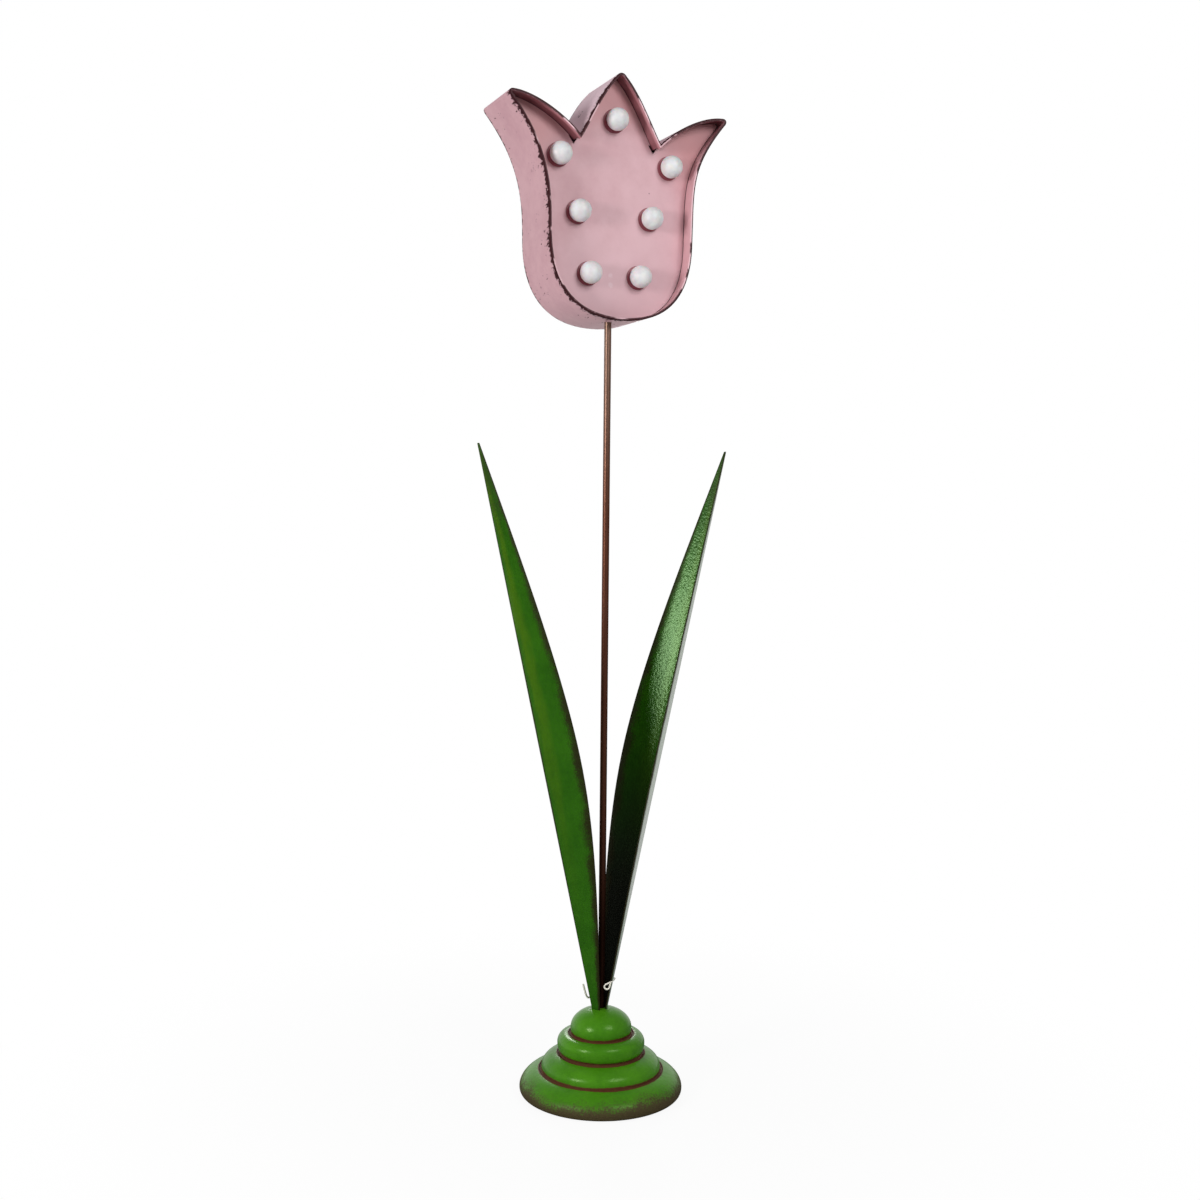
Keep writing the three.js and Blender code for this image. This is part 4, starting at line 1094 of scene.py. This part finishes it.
def make_plate():
    """Lit face: the outline's inset sheet, with a hole for each holder and a nick at each notch"""
    piece = outline_face("lit_face", PLATE_FRONT_Y)
    bpy.ops.mesh.select_mode(type="FACE")
    take_all()
    bpy.ops.mesh.inset(thickness=BAND_SHEET + PLATE_GAP, use_even_offset=True)
    bpy.ops.mesh.select_all(action="INVERT")
    bpy.ops.mesh.delete(type="FACE")
    take_all()
    draw_out((0, PLATE_SHEET, 0))
    face_outwards()
    end_edit()
    before, through = PLATE_FRONT_Y - MM, PLATE_FRONT_Y + PLATE_SHEET + MM
    for side in (-1, 1):
        x, z = HEAD_X + side * NOTCH[0], HEAD_Z + NOTCH[1] - NICK_DEPTH
        top = z + 1.5 * NICK_HALF
        corners = [(x, z), (x + NICK_HALF, top), (x - NICK_HALF, top)]
        cut(piece, prism([Vector((x, before, z)) for x, z in corners], through - before))
    for x, z in LIGHT_PLACES:
        x, z = HEAD_X + x, HEAD_Z + z
        cut(piece, cylinder(SLEEVE_RADIUS + PLATE_GAP, (x, before, z), (x, through, z)))
    done(piece, "plate", "face_plate", angle=40)


# Lights
def arc(radius, centre, start, end, steps):
    """Points of (radius, height) on a circle about the axis' point at a height"""
    points = []
    for step in range(steps + 1):
        angle = start + (end - start) * step / steps
        across = 0 if abs(angle - math.pi / 2) < 1e-6 else radius * math.cos(angle)
        points.append((across, centre + radius * math.sin(angle)))
    return points


def globe_profile():
    """Thin frosted shell with a neck, in (radius, distance in front of the rod's axis)"""
    middle = -PLATE_FRONT_Y + GLOBE_STAND
    seat = -PLATE_FRONT_Y + HOLDER_RIM + 0.3 * MM
    neck = 4.6 * MM
    bore = 3.4 * MM
    wall = neck - bore
    neck_end = -1 * MM
    low = math.asin((seat - middle) / GLOBE_RADIUS)
    low_inside = math.asin((seat + wall - middle) / (GLOBE_RADIUS - wall))
    outer = arc(GLOBE_RADIUS, middle, low, math.pi / 2, GLOBE_OUTER_STEPS)
    inner = arc(GLOBE_RADIUS - wall, middle, math.pi / 2, low_inside, GLOBE_INNER_STEPS)
    return [(bore, neck_end), (neck, neck_end), (neck, seat), *outer, *inner,
            (bore, seat + wall), (bore, neck_end)]


def holder_profile():
    """Collar in the plate: a sleeve and a round-edged rim that the globe stands on"""
    front = -PLATE_FRONT_Y + HOLDER_RIM
    under = -PLATE_FRONT_Y + 0.15 * MM
    back = -2.325 * MM
    sleeve = SLEEVE_RADIUS - 0.1 * MM
    ease = 0.3 * MM
    bore = 4.9 * MM
    lamp_bore = 2.8 * MM
    floor = back + 1 * MM
    return [(lamp_bore, back), (sleeve, back), (sleeve, under),
            (HOLDER_RADIUS, under), (HOLDER_RADIUS, front - ease),
            (HOLDER_RADIUS - 0.3 * ease, front - 0.3 * ease), (HOLDER_RADIUS - ease, front),
            (bore, front), (bore, floor), (lamp_bore, floor), (lamp_bore, back)]


def make_lights():
    """The top light's globe and collar, and copies of them for the others"""
    top_x, top_z = TOP_LIGHT
    centre = (HEAD_X + top_x, 0, HEAD_Z + top_z)
    towards_front = (0, -1, 0)
    globe = turn("globe_1", globe_profile(), ROUND_STEPS, centre, towards_front)
    collar = turn("collar_1", holder_profile(), ROUND_STEPS, centre, towards_front)
    for index, (x, z) in enumerate(LIGHT_PLACES, start=1):
        for first, name, key, slot, node in (
            (globe, "globe", "globe", "frosted_white", "bulb_globe"),
            (collar, "collar", "plum", "plum_plastic", "bulb_holder"),
        ):
            if index == 1:
                piece = first
            else:
                piece = copy_of(first, f"{name}_{index}", (x - top_x, 0, z - top_z))
            done(piece, key, f"{node}_{index}", angle=40)


# Screws at the back
def make_screw(node, name, cross):
    """Pan-head screw, its cross recess cut by two crossed blades"""
    low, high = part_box(node)
    x, z = (low.x + high.x) / 2, (low.z + high.z) / 2
    head = (high.x - low.x) / 2
    shank = head / 2
    rise = 0.62 * head
    top = high.y
    under = top - rise
    profile = [(0, top), (0.45 * head, top - 0.05 * rise), (0.8 * head, top - 0.3 * rise),
               (0.97 * head, top - 0.65 * rise), (head, under), (shank, under),
               (shank, low.y + shank), (0, low.y)]
    piece = turn(name, profile, SCREW_STEPS, (x, 0, z), (0, 1, 0))
    for angle in (CROSS_TURN, CROSS_TURN + math.pi / 2):
        bpy.ops.mesh.primitive_cube_add(size=1, location=(x, top, z), rotation=(0, angle, 0))
        blade = bpy.context.active_object
        blade.scale = (cross, 1.1 * rise, 0.24 * cross)
        cut(piece, blade)
    done(piece, "zinc", node, angle=40)


# Nylon loop round the right leaf's root
def strand(name, places, radius):
    """A round strand along a line of places"""
    piece = draw_line(name, places)
    merge_doubles()
    end_edit()
    only(piece)
    skin = piece.modifiers.new("Skin", "SKIN")
    skin.use_smooth_shade = True
    for corner in piece.data.skin_vertices[0].data:
        corner.radius = (radius, radius)
    bpy.ops.object.modifier_apply(modifier="Skin")
    modify(piece, "SUBSURF", levels=2, subdivision_type="CATMULL_CLARK")
    return piece


def make_tag_loop():
    """A drop-shaped eye in front, an arm round the leaf and a thicker tail behind the left leaf"""
    across = Vector((math.cos(TAG_TURN), math.sin(TAG_TURN), 0))
    up = Vector((0, 0, 1))
    middle = Vector(TAG_EYE)
    drop = [middle + across * TAG_TIP[0] + up * TAG_TIP[1]]
    for degrees in TAG_EYE_DEGREES:
        angle = math.radians(degrees)
        drop.append(middle + across * TAG_EYE_RADIUS * math.cos(angle)
                    + up * TAG_EYE_RADIUS * math.sin(angle))
    eye = strand("nylon_loop", [*drop, drop[0]], TAG_EYE_STRAND)
    arm = strand("arm", [Vector(place) * MM for place in TAG_ARM], TAG_STRAND)
    tail = strand("tail", [Vector(place) * MM for place in TAG_TAIL], 1.8 * TAG_STRAND)
    join(eye, arm, tail)
    done(eye, "nylon", "tag_loop", angle=60)


# Battery door: a plate with grip ribs under its top edge
def block(name, low, high, width):
    """A block between two corners, its edges broken by a small bevel"""
    bpy.ops.mesh.primitive_cube_add(size=1, location=(0, 0, 0))
    piece = active(name)
    start_edit()
    take_all()
    bpy.ops.transform.resize(value=high - low, center_override=(0, 0, 0))
    bpy.ops.transform.translate(value=(low + high) / 2)
    end_edit()
    break_edges(piece, width)
    return piece


def make_battery_door():
    low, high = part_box("battery_door")
    outside = high.y - DOOR_RIB_RISE
    middle = (low.x + high.x) / 2
    door = block("battery_door_plate", low, Vector((high.x, outside, high.z)), DOOR_EASE)
    top = high.z - 3 * DOOR_RIB_PITCH
    first = block(
        "door_rib_1",
        Vector((middle - DOOR_RIB_HALF, outside - DOOR_RIB_ROOT, top - DOOR_RIB_PITCH / 2)),
        Vector((middle + DOOR_RIB_HALF, high.y, top)), RIB_EASE,
    )
    others = [
        copy_of(first, f"door_rib_{index + 1}", (0, 0, -index * DOOR_RIB_PITCH))
        for index in range(1, DOOR_RIBS)
    ]
    join(door, first, *others)
    shade_moulding(door)
    done(door, "black", "battery_door", "door", angle=0)


def make_small_parts():
    for index in range(1, 5):
        make_screw(f"cover_screw_{index}", f"pan_screw_{index}", COVER_SCREW_CROSS)
    for index in range(1, 3):
        make_screw(f"switch_screw_{index}", f"small_screw_{index}", SWITCH_SCREW_CROSS)
    softened("battery_box", BOX_EASE)
    make_battery_door()
    softened("switch_knob", KNOB_EASE, body="knob")


# CAD solids that stay, by their finish
kept_solids = {
    "zinc": ["stem_nut", "stem_washer", "weld_lower", "weld_upper", "contact_bridge",
             "contact_spring", "contact_stud"],
    "felt": ["base_felt"],
    "back": ["rear_cover", *(f"cover_tab_{index}" for index in range(1, 5))],
    "lamp": [f"led_{index}" for index in range(1, 8)],
    "cable": ["led_lead", "switch_lead"],
    "black": ["switch_body"],
    "cell": ["aa_cell_1", "aa_cell_2"],
}


def finish_kept_solids():
    for key, nodes in kept_solids.items():
        for node in nodes:
            for material_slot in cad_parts[node].material_slots:
                material_slot.material = finish[key]


# Camera, lamps and stage
def make_camera():
    turn_angle = CAMERA_AZIMUTH + CAMERA_YAW
    place = Vector((
        -CAMERA_DISTANCE * math.sin(CAMERA_AZIMUTH),
        -CAMERA_DISTANCE * math.cos(CAMERA_AZIMUTH),
        CAMERA_HEIGHT,
    ))
    ahead = Vector((
        math.sin(turn_angle) * math.cos(CAMERA_PITCH),
        math.cos(turn_angle) * math.cos(CAMERA_PITCH),
        -math.sin(CAMERA_PITCH),
    ))
    level = Vector((math.cos(turn_angle), -math.sin(turn_angle), 0))
    above = level.cross(ahead)
    right = math.cos(CAMERA_ROLL) * level + math.sin(CAMERA_ROLL) * above
    up = -math.sin(CAMERA_ROLL) * level + math.cos(CAMERA_ROLL) * above
    bpy.ops.object.camera_add()
    camera = bpy.context.active_object
    camera.data.sensor_width = SENSOR_WIDTH
    camera.data.lens = SENSOR_WIDTH * FOCAL_PIXELS / IMAGE_SIZE
    axes = Matrix((right, up, -ahead)).transposed().to_4x4()
    camera.matrix_world = Matrix.Translation(place) @ axes
    bpy.context.scene.camera = camera


def make_lamps():
    """Soft square lamps, each aimed at a point on the rod's axis"""
    for name, (place, aim, side, power) in LAMPS.items():
        bpy.ops.object.light_add(type="AREA", location=place)
        lamp = bpy.context.active_object
        lamp.name = name
        lamp.rotation_euler = (Vector(place) - Vector(aim)).to_track_quat("Z", "Y").to_euler()
        lamp.data.shape = "SQUARE"
        lamp.data.size = side
        lamp.data.energy = power


def background_share(behind):
    """1 for rays that show the white background: straight ones, and mirrored ones or ones through
    glass where they end behind the object"""
    path = behind.id_data.nodes.new("ShaderNodeLightPath").outputs
    through = most(path["Is Glossy Ray"], path["Is Transmission Ray"])
    return most(path["Is Camera Ray"], times(through, behind))


def end_in_mix(output, share, lit, white):
    """Ends a tree in a lit shader and a white glow, mixed by a share"""
    nodes = share.id_data.nodes
    glow = nodes.new(white)
    glow.inputs["Color"].default_value = WHITE
    both = place_node("ShaderNodeMixShader", {0: share, 1: lit.outputs[0], 2: glow.outputs[0]})
    feed(nodes[output].inputs["Surface"], both.outputs[0])


def make_floor():
    """Pale floor that keeps the object's shadow and shows white to the camera"""
    bpy.ops.mesh.primitive_plane_add(size=FLOOR_SIZE, location=(0, 0, FLOOR_Z))
    floor = active("floor")
    material = bpy.data.materials.new("floor")
    material.use_nodes = True
    tree = material.node_tree
    tree.nodes.remove(tree.nodes["Principled BSDF"])
    where = tree.nodes.new("ShaderNodeTexCoord").outputs["Object"]
    glow_share = ramp(away_from(where, (0, 0, 0)), *GLOW_RISE, FLOOR_GLOW, 1)
    behind = ramp(split(where)["Y"], *BEHIND)
    mirrored = tree.nodes.new("ShaderNodeLightPath").outputs["Is Glossy Ray"]
    grey = blend(mirrored, FLOOR_GREY, FLOOR_GREY_IN_GLOSS)
    lit = place_node("ShaderNodeBsdfDiffuse", {"Color": grey})
    share = times(background_share(behind), glow_share)
    end_in_mix("Material Output", share, lit, "ShaderNodeEmission")
    floor.data.materials.append(material)


def make_world():
    """Even light from all round, and white where the background shows"""
    world = bpy.data.worlds.new("world")
    bpy.context.scene.world = world
    world.use_nodes = True
    tree = world.node_tree
    ambient = tree.nodes["Background"]
    ambient.inputs["Color"].default_value = WHITE
    ambient.inputs["Strength"].default_value = AMBIENT
    direction = split(tree.nodes.new("ShaderNodeTexCoord").outputs["Generated"])
    behind = times(ramp(direction["Y"], *BEHIND), ramp(direction["Z"], 0.8, 0.3))
    end_in_mix("World Output", background_share(behind), ambient, "ShaderNodeBackground")


make_camera()
make_floor()
make_world()
make_lamps()

make_base()
make_stem()
make_leaves()
make_band()
make_plate()
make_lights()
make_tag_loop()
make_small_parts()
finish_kept_solids()

bpy.context.scene.view_settings.view_transform = "Standard"
